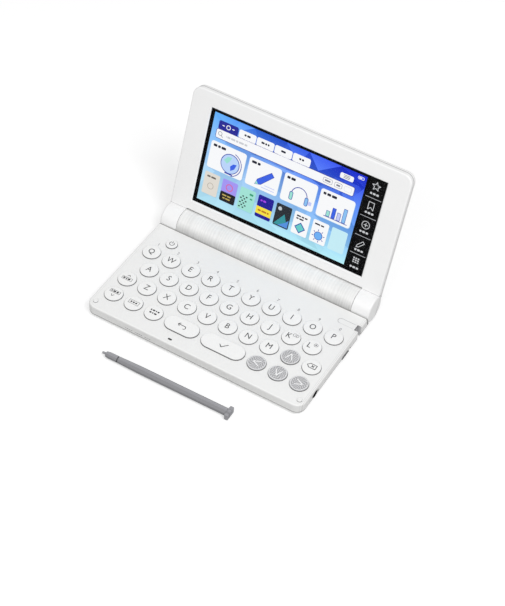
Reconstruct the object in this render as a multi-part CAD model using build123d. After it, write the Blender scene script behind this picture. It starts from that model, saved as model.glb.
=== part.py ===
from build123d import *
import os
from math import cos, radians, sin, sqrt

# A pocket electronic dictionary: a flat keyboard base, a round barrel along its rear edge that holds
# the two cells, a lid with the display that turns about the barrel's axis, and a loose stylus.
#
# Working frame: X to the right, Y to the rear with 0 on the hinge axis, Z up with 0 on the base's
# top face.  The finished nodes are moved so that the origin is the bottom centre of the whole part.

# ---------------------------------------------------------------- outer sizes, millimetres
# The width follows from the cells and the hinge behind the keyboard, the closed thickness from the
# barrel round the cells.
REACH = 91.7            # hinge axis to the front edge of the base, and to the lid's free edge
BASE_H = 8.6            # base, underside to top face
LID_OPEN = 108.0        # opening angle at rest, 0 is closed
CORNER_R = 6.0          # corners of base and lid in plan
BASE_TOP_R = 0.9        # soft edge round the base's top face
BASE_LOW_R = 2.6        # soft edge round the base's underside
LID_FACE_R = 0.9        # soft edge round the lid's inside face
LID_BACK_R = 3.2        # soft edge round the lid's back
LID_FOOT = 9.6          # hinge axis to the lid's lower edge
LID_FOOT_R = 0.6        # soft edges along the lid's lower edge
BASE_SPLIT = 5.9        # parting line of the base, below its top face
LID_SPLIT = 3.2         # parting line of the lid, below its inside face
GROOVE_W = 0.25         # shadow groove at the parting lines
GROOVE_DEEP = 0.3

# ---------------------------------------------------------------- walls
WALL = 1.4
TOP_T = 1.2             # deck
FLOOR_T = 1.2           # underside and lid back
FACE_T = 1.0            # lid face round the window
REAR_WALL = 1.2         # base wall in front of the barrel
REAR_STRIP = 0.4        # upright strip between the barrel hollow and the soft lower edge

# ---------------------------------------------------------------- clearances
LID_CLEARANCE = 0.2     # closed lid above the key tops
STOP_GAP = 0.3          # closed lid above the two stops
BARREL_GAP = 0.3        # barrel and knuckles to the base
SEAM_GAP = 0.3          # barrel to a knuckle, along the axis
KEY_GAP = 0.2           # key cap in its hole
KEY_REST_GAP = 0.05     # key flange below the deck
SWITCH_GAP = 0.1        # plunger above its dome, key pressed home
PIN_GAP = 0.05          # hinge pin in its bores
FIT_GAP = 0.1           # pieces seated in pockets
SNUG_GAP = 0.05         # screws, pads and shells against each other
STYLUS_GAP = 0.15       # stylus in its channel
COVER_GAP = 0.15        # battery cover in its opening

# ---------------------------------------------------------------- keys
KEY_LAND = 2.15         # deck between two keys, front to back
KEY_PROUD = 0.8
KEY_TRAVEL = 0.8
KEY_CROWN = 0.14        # rise of the cap's middle over its rim
KEY_RIM_R = 0.35
KEY_FLANGE = 0.8        # flange beyond the cap
KEY_FLANGE_T = 0.5
KEY_SIDE = 10.155       # middle of the outer keys to the side of the base
LAST_ROW_EXTRA = 1.05   # the last row stands a little apart
FIRST_ROW_Y = -33.8     # hinge axis to the first row
LAST_ROW_FRONT = 15.6   # last row to the front edge
WIDE_SPLIT = 4.285      # land between the two long keys, in key columns
POWER_R = 3.7
POWER_SIDE = 17.0
POWER_Y = -21.3
PLUNGER_R = 1.1
PLUNGER_L = 0.85        # plunger below the flange
DOME_R = 2.2
DOME_H = 0.5
SHEET_T = 0.4
BOARD_T = 1.0
JACK_KEY_SHIFT = 3.3    # the key over the headphone socket has its plunger this far forward

# ---------------------------------------------------------------- barrel, cells and hinge
CELL_D = 14.2
CELL_L = 49.2
CELL_NUB_R = 2.7
CELL_NUB_H = 1.0
CELL_ROOM = 0.6         # cell to the barrel's inner wall
CONTACT_T = 0.5
CONTACT_R = 5.5
SPRING_L = 4.0
SPRING_R = 3.4
SPRING_WIRE = 0.7
BARREL_WALL = 1.2
KNUCKLE_W = 11.95       # lid knuckle, along the axis
KNUCKLE_END_R = 1.2
BULKHEAD_T = 1.0
CARTRIDGE_L = 9.05
PIN_R = 2.5
PIN_END = 2.95          # blind end of a pin's bore to the knuckle's outer face
PIN_SHORT = 1.65        # pin shorter than its cartridge
CABLE_TURN_ROOM = 5.4   # the hollow left pin is this much shorter, so that the cable can turn
CABLE_HOLE_R = 1.15
TONGUE_T = 1.2
TONGUE_END = 6.75       # tongue shorter than the barrel, at each end
TONGUE_REACH = 14.6     # hinge axis to the tongue's front edge
COVER_END = 2.7         # battery cover shorter than the cell bay, at each end
COVER_FROM = -82.0      # its edges, degrees about the axis from +Y
COVER_TO = -8.0
COVER_LAP = 6.0         # degrees of thin lap at each edge
COVER_LAP_T = 0.55

# ---------------------------------------------------------------- display
WIN_SIDE = 14.35        # window to the side of the lid
WIN_HEAD = 9.9          # window to the lid's free edge
WIN_FOOT = 16.2         # hinge axis to the window's lower edge
WIN_BEVEL = 0.6
GLASS_T = 0.7
GLASS_LAP = 1.1         # glass behind the frame, all round
LCD_T = 2.2
LCD_INSET = 0.9         # display module inside the glass outline
DRIVER_H = 8.0          # driver board behind the display module
DRIVER_T = 0.8
PAD_SIZE = 6.0          # rests behind the display module
LIP_T = 0.8             # locating lip of the lid's front shell
LIP_H = 1.2

# ---------------------------------------------------------------- fittings
STYLUS_D = 4.6
STYLUS_L = 88.4
STYLUS_NECK_D = 3.9
STYLUS_NIB_D = 1.5
STYLUS_NIB_L = 2.9
STYLUS_COLLAR_L = 8.0
STYLUS_GROOVE = 0.6
STYLUS_TAPER_L = 14.0
STYLUS_HEAD_T = 2.5
STYLUS_HEAD_W = 7.8
STYLUS_Y = -19.15       # stylus channel in the base
STYLUS_OUT_SIDE = 27.0  # where the loose stylus lies: its tip to the base's left side
STYLUS_OUT_FRONT = 21.7 # and to its front edge
STYLUS_OUT_TURN = 0.8
CHANNEL_WALL = 1.0
JACK_FRONT = 17.8       # socket to the front edge
JACK_UNDER = 0.3        # socket above the floor
JACK_BORE_R = 1.8
JACK_DEPTH = 13.0
JACK_W = 5.2
JACK_H = 4.4
JACK_HOLE_R = 2.7       # hole in the base's side wall, wide enough for the plug's collar
JACK_RECESS = 2.5       # socket behind the base's side face
DISH_DEEP = 0.8         # dished surround of the socket, and the charging socket's recess
DISH_L = 8.0
USB_Y = -35.9
USB_UNDER = 0.1         # socket above the floor
USB_W = 7.8
USB_H = 2.6
USB_DEPTH = 5.6
USB_WALL = 0.35
USB_RECESS_L = 11.6
USB_RECESS_H = 3.2
SCREW_R = 0.9
SCREW_HEAD_R = 1.9
SCREW_HEAD_H = 0.9
SCREW_SINK = 1.0        # counterbore depth
BOSS_R = 2.2
SCREW_END = 0.6         # screw hole above the screw
FRONT_SCREW_EDGE = 5.0
REAR_SCREW_Y = -12.4
FRONT_SCREW_SIDE = 15.0
REAR_SCREW_SIDE = 25.0
FOOT_R = 4.0
REAR_FOOT_R = 2.6
FOOT_PROUD = 0.5
FOOT_SINK = 0.3
FOOT_SIDE = 13.0
FOOT_FRONT = 11.7
STOP_R = 1.5
STOP_SIDE = 4.0
STOP_FRONT = 5.2
SPEAKER_R = 5.0
SPEAKER_T = 3.0
MAGNET_R = 3.0
MAGNET_T = 1.0
SPEAKER_X = -30.0
SPEAKER_Y = -20.2
MIC_X = -16.8
MIC_FRONT = 3.6
MIC_L = 2.0
MIC_W = 0.6
BOARD_EDGE = 3.4        # board inside the base's outer face, at the sides
BOARD_FRONT_EDGE = 8.2
BOARD_REAR = -26.0
CHIP_T = 1.1
CHIPS = ((-0.5, 14, 11), (-0.16, 12, 9), (0.16, 9, 9), (0.5, 16, 10))  # place along the half width, size
REST_POST_R = 1.5
CABLE_R = 0.85
CABLE_BEND_R = 1.6
DUCT_SIDE = 3.2         # knuckle's seam face to the cable's way through it
DUCT_STEP = 1.5
DUCT_HALF = 2.0
DUCT_LOW = 5.5          # cable's way, below the hinge axis
DUCT_RISE = 3.0         # where it turns up into the arm

# ---------------------------------------------------------------- worked out from the sizes above
BAY_HALF = CELL_L + CELL_NUB_H + SPRING_L / 2 + CONTACT_T
BARREL_HALF = BAY_HALF + BULKHEAD_T + CARTRIDGE_L
KNUCKLE_IN = BARREL_HALF + SEAM_GAP
HALF_W = KNUCKLE_IN + KNUCKLE_W
TUBE_R = CELL_D / 2 + CELL_ROOM
BARREL_R = TUBE_R + BARREL_WALL
LID_GAP = KEY_PROUD + LID_CLEARANCE
LID_T = 2 * BARREL_R - BASE_H - LID_GAP
AXIS_Z = BARREL_R - BASE_H
BASE_R = BARREL_R + BARREL_GAP
BASE_REAR = -sqrt(BASE_R ** 2 - (AXIS_Z + BASE_H - BASE_LOW_R - REAR_STRIP) ** 2)
CAVITY_REAR = -(BASE_R + REAR_WALL)
COVER_HALF = BAY_HALF - COVER_END
TONGUE_HALF = BARREL_HALF - TONGUE_END
PIN_IN_LID = KNUCKLE_W - PIN_END        # pin length inside a knuckle
PIN_IN_BARREL = CARTRIDGE_L - PIN_SHORT
LID_FACE = LID_T - BARREL_R             # inside face, measured along its normal from the axis
LID_BACK = -BARREL_R
LID_PART = LID_FACE - LID_SPLIT
FLOOR_Z = -BASE_H + FLOOR_T
GROUND_Z = -BASE_H - FOOT_PROUD
KEY_PITCH = (HALF_W - KEY_SIDE) / 4.5   # ten columns
ROW_PITCH = (REACH - LAST_ROW_FRONT + FIRST_ROW_Y - LAST_ROW_EXTRA) / 3
KEY_R = (ROW_PITCH - KEY_LAND) / 2
WIDE_KEY_H = 2 * KEY_R
POWER_X = POWER_SIDE - HALF_W
FLANGE_TOP = -TOP_T - KEY_REST_GAP
FLANGE_LOW = FLANGE_TOP - KEY_FLANGE_T
PLUNGER_LOW = FLANGE_LOW - PLUNGER_L
DOME_TOP = PLUNGER_LOW - KEY_TRAVEL - SWITCH_GAP
SHEET_TOP = DOME_TOP - DOME_H
BOARD_TOP = SHEET_TOP - SHEET_T
BOARD_LOW = BOARD_TOP - BOARD_T
BOARD_FRONT = BOARD_FRONT_EDGE - REACH
JACK_FACE_X = HALF_W - JACK_RECESS
USB_FACE_X = HALF_W - DISH_DEEP
JACK_Y = JACK_FRONT - REACH
JACK_Z = FLOOR_Z + JACK_UNDER + JACK_H / 2
USB_Z = FLOOR_Z + USB_UNDER + USB_H / 2
STYLUS_Z = -BASE_H / 2
FRONT_SCREW_Y = FRONT_SCREW_EDGE - REACH
FOOT_X = HALF_W - FOOT_SIDE
FOOT_Y = FOOT_FRONT - REACH
FOOT_SPAN = (BAY_HALF + BULKHEAD_T + BARREL_HALF) / 2
STOP_X = HALF_W - STOP_SIDE
STOP_Y = STOP_FRONT - REACH
CHANNEL_HALF = STYLUS_D / 2 + STYLUS_GAP
CHANNEL_END_X = HALF_W - STYLUS_L - 4 * STYLUS_GAP
NOTCH_X = HALF_W - STYLUS_HEAD_T - 3 * STYLUS_GAP
TONGUE_LOW = -BASE_SPLIT
TONGUE_TOP = TONGUE_LOW + TONGUE_T
GLASS_TOP = LID_FACE - FACE_T
GLASS_LOW = GLASS_TOP - GLASS_T
LCD_LOW = GLASS_LOW - LCD_T
WIN_W = 2 * (HALF_W - WIN_SIDE)
WIN_H = REACH - WIN_HEAD - WIN_FOOT
WIN_MID = WIN_FOOT + WIN_H / 2
LID_TILT = radians(180 - LID_OPEN)
LID_PLANE = Plane(origin=(0, 0, AXIS_Z), x_dir=(1, 0, 0), z_dir=(0, -sin(LID_TILT), cos(LID_TILT)))

ROW_Y = [FIRST_ROW_Y - row * ROW_PITCH for row in range(3)]
ROW_Y.append(ROW_Y[2] - ROW_PITCH - LAST_ROW_EXTRA)


# ---------------------------------------------------------------- small helpers
def column_x(column):
    """Middle of a key column; half columns are the staggered ones."""
    return (column - 4.5) * KEY_PITCH


def block(x0, x1, y0, y1, z0, z1):
    """Box between two opposite corners."""
    return Pos((x0 + x1) / 2, (y0 + y1) / 2, (z0 + z1) / 2) * Box(x1 - x0, y1 - y0, z1 - z0)


def post(x, y, z0, z1, r):
    """Upright round bar."""
    return Pos(x, y, (z0 + z1) / 2) * Cylinder(r, z1 - z0)


def bar_x(x0, x1, y, z, r):
    """Round bar along X."""
    return Pos((x0 + x1) / 2, y, z) * Rot(0, 90, 0) * Cylinder(r, x1 - x0)


def slot_block(x, y, length, width, z0, z1):
    """Upright bar with a slot-shaped outline, its length along X."""
    return Pos(x, y, z0) * extrude(SlotOverall(length, width), z1 - z0)


def side_slot(x0, x1, y, z, length, height):
    """Bar along X with a slot-shaped outline, its length along Y."""
    outline = Plane(origin=(x0, y, z), x_dir=(0, 1, 0), z_dir=(1, 0, 0)) * SlotOverall(length, height)
    return extrude(outline, x1 - x0)


def arc_shell(x0, x1, r0, r1, start, end):
    """Part of a tube about the hinge axis, between two angles measured from +Y."""
    tube = bar_x(x0, x1, 0, AXIS_Z, r1) - bar_x(x0, x1, 0, AXIS_Z, r0)
    reach = 3 * r1
    mid = radians((start + end) / 2)
    corners = [(0, 0)]
    for angle in (radians(start), mid, radians(end)):
        corners.append((reach * cos(angle), reach * sin(angle)))
    wedge_face = Plane(origin=(x0, 0, AXIS_Z), x_dir=(0, 1, 0), z_dir=(1, 0, 0)) * make_face(
        Polyline(*corners, close=True))
    return tube & extrude(wedge_face, x1 - x0)


# ---------------------------------------------------------------- base shells
def base_slab(inset, z0, z1):
    """Slab with the base's outline in plan, moved in by inset."""
    slab = block(-HALF_W + inset, HALF_W - inset, -REACH + inset, BASE_REAR - inset, z0, z1)
    front_corners = slab.edges().filter_by(Axis.Z).group_by(Axis.Y)[0]
    return fillet(front_corners, CORNER_R - inset)


def base_envelope():
    """Outer form of the base, hollowed at the rear for the barrel."""
    body = base_slab(0, -BASE_H, 0)
    body = fillet(body.faces().sort_by(Axis.Z)[-1].edges(), BASE_TOP_R)
    body = fillet(body.faces().sort_by(Axis.Z)[0].edges(), BASE_LOW_R)
    return body - bar_x(-HALF_W - 1, HALF_W + 1, 0, AXIS_Z, BASE_R)


def base_cavity():
    cavity = block(-HALF_W + WALL, HALF_W - WALL, -REACH + WALL, CAVITY_REAR, FLOOR_Z, -TOP_T)
    front_corners = cavity.edges().filter_by(Axis.Z).group_by(Axis.Y)[0]
    return fillet(front_corners, CORNER_R - WALL)


def screw_places():
    """Middles of the six base screws."""
    places = []
    for side in (-1, 0, 1):
        places.append((side * (HALF_W - FRONT_SCREW_SIDE), FRONT_SCREW_Y))
        places.append((side * (HALF_W - REAR_SCREW_SIDE), REAR_SCREW_Y))
    return places


def stylus_passage():
    """Square channel for the stylus and the upright notch for its head, at the right side."""
    channel = block(CHANNEL_END_X, HALF_W + 1, STYLUS_Y - CHANNEL_HALF, STYLUS_Y + CHANNEL_HALF,
                    STYLUS_Z - CHANNEL_HALF, STYLUS_Z + CHANNEL_HALF)
    notch = block(NOTCH_X, HALF_W + 1, STYLUS_Y - CHANNEL_HALF, STYLUS_Y + CHANNEL_HALF, -BASE_H - 1, 1)
    return channel + notch


def parting_groove():
    """Shadow groove round the base, just below its parting line."""
    groove = base_slab(-1, -BASE_SPLIT - GROOVE_W, -BASE_SPLIT)
    return groove - base_slab(GROOVE_DEEP, -BASE_SPLIT - GROOVE_W, -BASE_SPLIT)


def side_openings():
    """Headphone hole with its dished surround, and the recess and slot of the charging socket."""
    hole = bar_x(HALF_W - 2 * WALL, HALF_W + 1, JACK_Y, JACK_Z, JACK_HOLE_R)
    dish = side_slot(HALF_W - DISH_DEEP, HALF_W + 1, JACK_Y, JACK_Z, DISH_L, JACK_H)
    recess = side_slot(HALF_W - DISH_DEEP, HALF_W + 1, USB_Y, USB_Z, USB_RECESS_L, USB_RECESS_H)
    socket = block(HALF_W - 2 * WALL, HALF_W + 1, USB_Y - USB_W / 2 - FIT_GAP, USB_Y + USB_W / 2 + FIT_GAP,
                   USB_Z - USB_H / 2 - FIT_GAP, USB_Z + USB_H / 2 + FIT_GAP)
    return [hole, dish, recess, socket]


def base_top_cover():
    shell = base_envelope() & block(-HALF_W - 1, HALF_W + 1, -REACH - 1, 0, -BASE_SPLIT, 1)
    shell = shell - base_cavity()
    for x, y in screw_places():
        if (x, y) in lug_places():
            continue
        low = TONGUE_TOP if y == REAR_SCREW_Y else -BASE_SPLIT
        shell = shell + post(x, y, low, -TOP_T, BOSS_R)
        shell = shell - post(x, y, low - 1, -TOP_T - SCREW_END, SCREW_R + SNUG_GAP)
    shell = shell - port_room(SNUG_GAP)
    shell = shell - block(-TONGUE_HALF - FIT_GAP, TONGUE_HALF + FIT_GAP, CAVITY_REAR - 1, 0,
                          -BASE_SPLIT - 1, TONGUE_TOP + FIT_GAP)
    for cutter in side_openings():
        shell = shell - cutter
    for name, x, y, outline in key_places():
        shell = shell - key_hole(x, y, outline)
    for side in (-1, 1):
        shell = shell + lid_stop(side)
    return shell - slot_block(MIC_X, MIC_FRONT - REACH, MIC_L, MIC_W, -TOP_T - 1, 1)


def base_bottom_cover():
    shell = base_envelope() & block(-HALF_W - 1, HALF_W + 1, -REACH - 1, 0, -BASE_H - 1, -BASE_SPLIT)
    shell = shell - base_cavity()
    shell = shell - parting_groove()
    shell = shell - port_room(SNUG_GAP)
    for x, y in rest_posts():
        shell = shell + post(x, y, FLOOR_Z, BOARD_LOW, REST_POST_R)
    for x, y in screw_places():
        shell = shell + post(x, y, FLOOR_Z, -BASE_SPLIT, BOSS_R)
        shell = shell - post(x, y, -BASE_H - 1, 1, SCREW_R + SNUG_GAP)
        shell = shell - post(x, y, -BASE_H - 1, -BASE_H + SCREW_SINK, SCREW_HEAD_R + FIT_GAP)
    for cutter in side_openings():
        shell = shell - cutter
    for side in (-1, 1):
        shell = shell - post(side * FOOT_X, FOOT_Y, -BASE_H - 1, -BASE_H + FOOT_SINK, FOOT_R + FIT_GAP)
    for row in range(-2, 3):
        y = SPEAKER_Y + row * SPEAKER_R / 3
        length = 2 * sqrt(SPEAKER_R ** 2 - (row * SPEAKER_R / 3) ** 2) * 0.85
        shell = shell - slot_block(SPEAKER_X, y, length, SPEAKER_R / 6, -BASE_H - 1, FLOOR_Z + 1)
    return shell


def lid_stop(side):
    """Low round pad that the closed lid comes down on."""
    top = LID_GAP - STOP_GAP
    pad = post(side * STOP_X, STOP_Y, -TOP_T, top, STOP_R)
    return fillet(pad.edges().sort_by(Axis.Z)[-1], top / 2)


def channel_sides():
    """Outer sides of the stylus channel's walls, front and rear."""
    half = CHANNEL_HALF + CHANNEL_WALL
    return STYLUS_Y - half, STYLUS_Y + half


def port_room(gap):
    """Room in the base shells for the channel's port, gap wider than the port."""
    y0, y1 = channel_sides()
    return block(NOTCH_X - CHANNEL_WALL - gap, HALF_W + 1, y0 - gap, y1 + gap, -BASE_H - 1, 1)


def lug_places():
    """Middles of the rear screws that hold the stylus channel."""
    return [(x, y) for x, y in screw_places() if y == REAR_SCREW_Y and x > CHANNEL_END_X]


def stylus_channel():
    """Trough for the stored stylus, the port that forms its mouth, and lugs for two rear screws."""
    y0, y1 = channel_sides()
    roof = -TOP_T - SNUG_GAP
    channel = block(CHANNEL_END_X - CHANNEL_WALL, NOTCH_X, y0, y1, FLOOR_Z + SNUG_GAP, STYLUS_Z + CHANNEL_HALF)
    channel = channel + (base_envelope() & port_room(0))
    for x, y in lug_places():
        channel = channel + post(x, y, TONGUE_TOP, roof, BOSS_R)
        channel = channel + block(x - BOSS_R, x + BOSS_R, y1 - CHANNEL_WALL / 2, y, TONGUE_TOP, roof)
        channel = channel - post(x, y, TONGUE_TOP - 1, -TOP_T - SCREW_END, SCREW_R + SNUG_GAP)
    channel = channel - block(CHANNEL_END_X, HALF_W, CAVITY_REAR - SNUG_GAP, 0, -BASE_H, 0)
    return channel - stylus_passage() - parting_groove()


def rest_posts():
    """Posts that carry the main board, between the keys' domes."""
    places = []
    for column in (0.5, 3.5, 6.5):
        places.append((column_x(column), (ROW_Y[2] + ROW_Y[3]) / 2))
        places.append((column_x(column + 0.5), (ROW_Y[0] + ROW_Y[1]) / 2))
    return places


# ---------------------------------------------------------------- keys
def key_places():
    """Name, middle and outline (round radius, or length and width) of every key."""
    places = []
    for column, letter in enumerate("qwertyuiop"):
        places.append(("key_" + letter, column_x(column), ROW_Y[0], KEY_R))
    for column, letter in enumerate("asdfghjkl"):
        places.append(("key_" + letter, column_x(column + 0.5), ROW_Y[1], KEY_R))
    third = ["function_1"] + list("zxcvbnm") + ["up", "delete"]
    for column, label in enumerate(third):
        places.append(("key_" + label, column_x(column), ROW_Y[2], KEY_R))
    fourth = {0: "function_2", 1: "function_3", 2: "function_4", 7: "left", 8: "down", 9: "right"}
    for column, label in fourth.items():
        places.append(("key_" + label, column_x(column), ROW_Y[3], KEY_R))
    land = KEY_PITCH - 2 * KEY_R
    starts = [column_x(2) + KEY_R + land, column_x(WIDE_SPLIT) + land / 2]
    ends = [column_x(WIDE_SPLIT) - land / 2, column_x(7) - KEY_R - land]
    for label, start, end in zip(("back", "enter"), starts, ends):
        places.append(("key_" + label, (start + end) / 2, ROW_Y[3], (end - start, WIDE_KEY_H)))
    places.append(("key_power", POWER_X, POWER_Y, POWER_R))
    return places


def key_outline(outline, grow):
    """Flat outline of a key, made larger all round by grow."""
    if isinstance(outline, tuple):
        return SlotOverall(outline[0] + 2 * grow, outline[1] + 2 * grow)
    return Circle(outline + grow)


def key_hole(x, y, outline):
    return Pos(x, y, -TOP_T - 1) * extrude(key_outline(outline, KEY_GAP), TOP_T + 2)


def switch_offset(name):
    """The key over the headphone socket presses a dome in front of the socket."""
    return -JACK_KEY_SHIFT if name == "key_right" else 0.0


def crowned_button(r):
    """Round cap from its flange up, with a soft rim and a slightly raised middle."""
    rim_z = KEY_PROUD - KEY_CROWN
    soft = KEY_RIM_R * (1 - sqrt(0.5))
    wall = Polyline((r - KEY_RIM_R, rim_z), (0, rim_z), (0, FLANGE_LOW), (r, FLANGE_LOW), (r, rim_z - KEY_RIM_R))
    rim = ThreePointArc((r, rim_z - KEY_RIM_R), (r - soft, rim_z - soft), (r - KEY_RIM_R, rim_z))
    body = revolve(Plane.XZ * make_face(wall + rim), Axis.Z)
    span = r - KEY_RIM_R
    crown = ThreePointArc((span, 0), (span / 2, KEY_CROWN * 0.75), (0, KEY_CROWN))
    dome = make_face(crown + Polyline((0, KEY_CROWN), (0, 0), (span, 0)))
    return body + revolve(Plane(origin=(0, 0, rim_z), x_dir=(1, 0, 0), z_dir=(0, -1, 0)) * dome, Axis.Z)


def key_cap(name, x, y, outline):
    """Cap, retaining flange under the deck and plunger above its dome."""
    if isinstance(outline, tuple):
        cap = Pos(0, 0, FLANGE_LOW) * extrude(key_outline(outline, 0), KEY_PROUD - FLANGE_LOW)
        cap = fillet(cap.faces().sort_by(Axis.Z)[-1].edges(), KEY_RIM_R)
    else:
        cap = crowned_button(outline)
    flange = Pos(0, 0, FLANGE_LOW) * extrude(key_outline(outline, KEY_FLANGE), KEY_FLANGE_T)
    plunger = post(0, switch_offset(name), PLUNGER_LOW, FLANGE_TOP, PLUNGER_R)
    return Pos(x, y, 0) * (cap + flange + plunger)


# ---------------------------------------------------------------- electronics in the base
def board_outline(edge, z0, z1):
    """Board outline with a tab under the power key and bays for the two side sockets."""
    side = HALF_W - BOARD_EDGE - edge
    sheet = block(-side, side, BOARD_FRONT + edge, BOARD_REAR - edge, z0, z1)
    sheet = sheet + block(POWER_X - POWER_R - 1 + edge, POWER_X + POWER_R + 1 - edge,
                          BOARD_REAR - 1 - edge, POWER_Y + POWER_R - edge, z0, z1)
    jack_bay = block(JACK_FACE_X - JACK_DEPTH - 3 * FIT_GAP - 1, HALF_W, JACK_Y - JACK_W / 2 - 3 * FIT_GAP,
                     JACK_Y + JACK_W / 2 + 3 * FIT_GAP, z0, z1)
    usb_bay = block(USB_FACE_X - USB_DEPTH - 3 * FIT_GAP, HALF_W, USB_Y - USB_W / 2 - 3 * FIT_GAP,
                    USB_Y + USB_W / 2 + 3 * FIT_GAP, z0, z1)
    return sheet - jack_bay - usb_bay


def main_board():
    """Circuit board with its processor, memory and power parts on the underside."""
    board = board_outline(0, BOARD_LOW, BOARD_TOP)
    middle_y = (ROW_Y[1] + ROW_Y[2]) / 2
    for place, length, width in CHIPS:
        x = place * HALF_W
        board = board + block(x - length / 2, x + length / 2, middle_y - width / 2, middle_y + width / 2,
                              BOARD_LOW - CHIP_T, BOARD_LOW)
    return board


def key_dome_sheet():
    """Rubber sheet with one dome under every plunger."""
    sheet = board_outline(1.0, BOARD_TOP, SHEET_TOP)
    ball_r = (DOME_R ** 2 + DOME_H ** 2) / (2 * DOME_H)
    cap = Sphere(ball_r) & block(-DOME_R, DOME_R, -DOME_R, DOME_R, ball_r - DOME_H - SHEET_T / 2, ball_r)
    for name, x, y, outline in key_places():
        sheet = sheet + Pos(x, y + switch_offset(name), DOME_TOP - ball_r) * cap
    return sheet


def speaker():
    body = post(SPEAKER_X, SPEAKER_Y, FLOOR_Z, FLOOR_Z + SPEAKER_T, SPEAKER_R)
    magnet = post(SPEAKER_X, SPEAKER_Y, FLOOR_Z + SPEAKER_T, FLOOR_Z + SPEAKER_T + MAGNET_T, MAGNET_R)
    return body + magnet


def headphone_jack():
    body = block(JACK_FACE_X - JACK_DEPTH - 1, JACK_FACE_X, JACK_Y - JACK_W / 2, JACK_Y + JACK_W / 2,
                 JACK_Z - JACK_H / 2, JACK_Z + JACK_H / 2)
    return body - bar_x(JACK_FACE_X - JACK_DEPTH, HALF_W, JACK_Y, JACK_Z, JACK_BORE_R)


def usb_socket():
    """Metal shell, open to the side, with its contact tongue."""
    z = USB_Z
    x0 = USB_FACE_X - USB_DEPTH
    shell = block(x0, USB_FACE_X, USB_Y - USB_W / 2, USB_Y + USB_W / 2, z - USB_H / 2, z + USB_H / 2)
    mouth = block(x0 + 1, HALF_W, USB_Y - USB_W / 2 + USB_WALL, USB_Y + USB_W / 2 - USB_WALL,
                  z - USB_H / 2 + USB_WALL, z + USB_H / 2 - USB_WALL)
    tongue = block(x0, USB_FACE_X - 1, USB_Y - USB_W / 4, USB_Y + USB_W / 4, z - USB_H / 10, z + USB_H / 10)
    return shell - mouth + tongue


# ---------------------------------------------------------------- barrel, cells, hinge
def hinge_barrel():
    """Tube that holds the cells, its end bulkheads, and the tongue screwed between the base covers."""
    tube = bar_x(-BARREL_HALF, BARREL_HALF, 0, AXIS_Z, BARREL_R)
    tube = tube + block(-TONGUE_HALF, TONGUE_HALF, -TONGUE_REACH, 0, TONGUE_LOW, TONGUE_TOP)
    tube = tube - bar_x(-BARREL_HALF - 1, BARREL_HALF + 1, 0, AXIS_Z, TUBE_R)
    for side in (-1, 1):
        start = min(side * BAY_HALF, side * (BAY_HALF + BULKHEAD_T))
        tube = tube + bar_x(start, start + BULKHEAD_T, 0, AXIS_Z, TUBE_R + SNUG_GAP)
        tube = tube - post(side * FOOT_SPAN, 0, -BASE_H - 1, -BASE_H + FOOT_SINK, REAR_FOOT_R + FIT_GAP)
    tube = tube - bar_x(-BARREL_HALF, BARREL_HALF, 0, AXIS_Z, CABLE_HOLE_R)
    for x, y in screw_places():
        tube = tube - post(x, y, TONGUE_LOW - 1, TONGUE_TOP + 1, SCREW_R + SNUG_GAP)
    through = arc_shell(-COVER_HALF - COVER_GAP, COVER_HALF + COVER_GAP, TUBE_R - 1, BARREL_R + 1,
                        COVER_FROM + COVER_LAP, COVER_TO - COVER_LAP)
    recess = arc_shell(-COVER_HALF - COVER_GAP, COVER_HALF + COVER_GAP, BARREL_R - COVER_LAP_T - COVER_GAP,
                       BARREL_R + 1, COVER_FROM - 1, COVER_TO + 1)
    return tube - through - recess


def battery_cover():
    """Curved cover under and behind the barrel, with a thin lap along both long edges."""
    middle = arc_shell(-COVER_HALF, COVER_HALF, TUBE_R, BARREL_R, COVER_FROM + COVER_LAP + 1,
                       COVER_TO - COVER_LAP - 1)
    return middle + arc_shell(-COVER_HALF, COVER_HALF, BARREL_R - COVER_LAP_T, BARREL_R, COVER_FROM, COVER_TO)


def battery_cells():
    """Two cells end to end, standing on the spring contact at the left."""
    cells = []
    start = -BAY_HALF + CONTACT_T + SPRING_L
    for count in range(2):
        x0 = start + count * (CELL_L + CELL_NUB_H)
        cell = fillet(bar_x(x0, x0 + CELL_L, 0, AXIS_Z, CELL_D / 2).edges(), 0.5)
        cells.append(cell + bar_x(x0 + CELL_L - 0.1, x0 + CELL_L + CELL_NUB_H, 0, AXIS_Z, CELL_NUB_R))
    return Compound(cells)


def battery_contacts():
    """End plates of the battery bay; the left one carries the spring, drawn as a ringed cone."""
    left = bar_x(-BAY_HALF, -BAY_HALF + CONTACT_T, 0, AXIS_Z, CONTACT_R)
    turns = 4
    for turn in range(turns):
        x0 = -BAY_HALF + CONTACT_T + turn * SPRING_L / turns
        radius = SPRING_R - turn * 0.4
        ring = bar_x(x0, x0 + SPRING_L / turns, 0, AXIS_Z, radius)
        left = left + (ring - bar_x(x0, x0 + SPRING_L / turns, 0, AXIS_Z, radius - SPRING_WIRE))
    right = bar_x(BAY_HALF - CONTACT_T, BAY_HALF, 0, AXIS_Z, CONTACT_R)
    return Compound([left, right])


def hinge_cartridges():
    """Friction cartridges at the ends of the barrel."""
    sleeves = []
    for side in (-1, 1):
        ends = sorted((side * (BAY_HALF + BULKHEAD_T), side * BARREL_HALF))
        sleeve = bar_x(ends[0], ends[1], 0, AXIS_Z, TUBE_R - SNUG_GAP)
        sleeves.append(sleeve - bar_x(ends[0] - 1, ends[1] + 1, 0, AXIS_Z, PIN_R + PIN_GAP))
    return Compound(sleeves)


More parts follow.
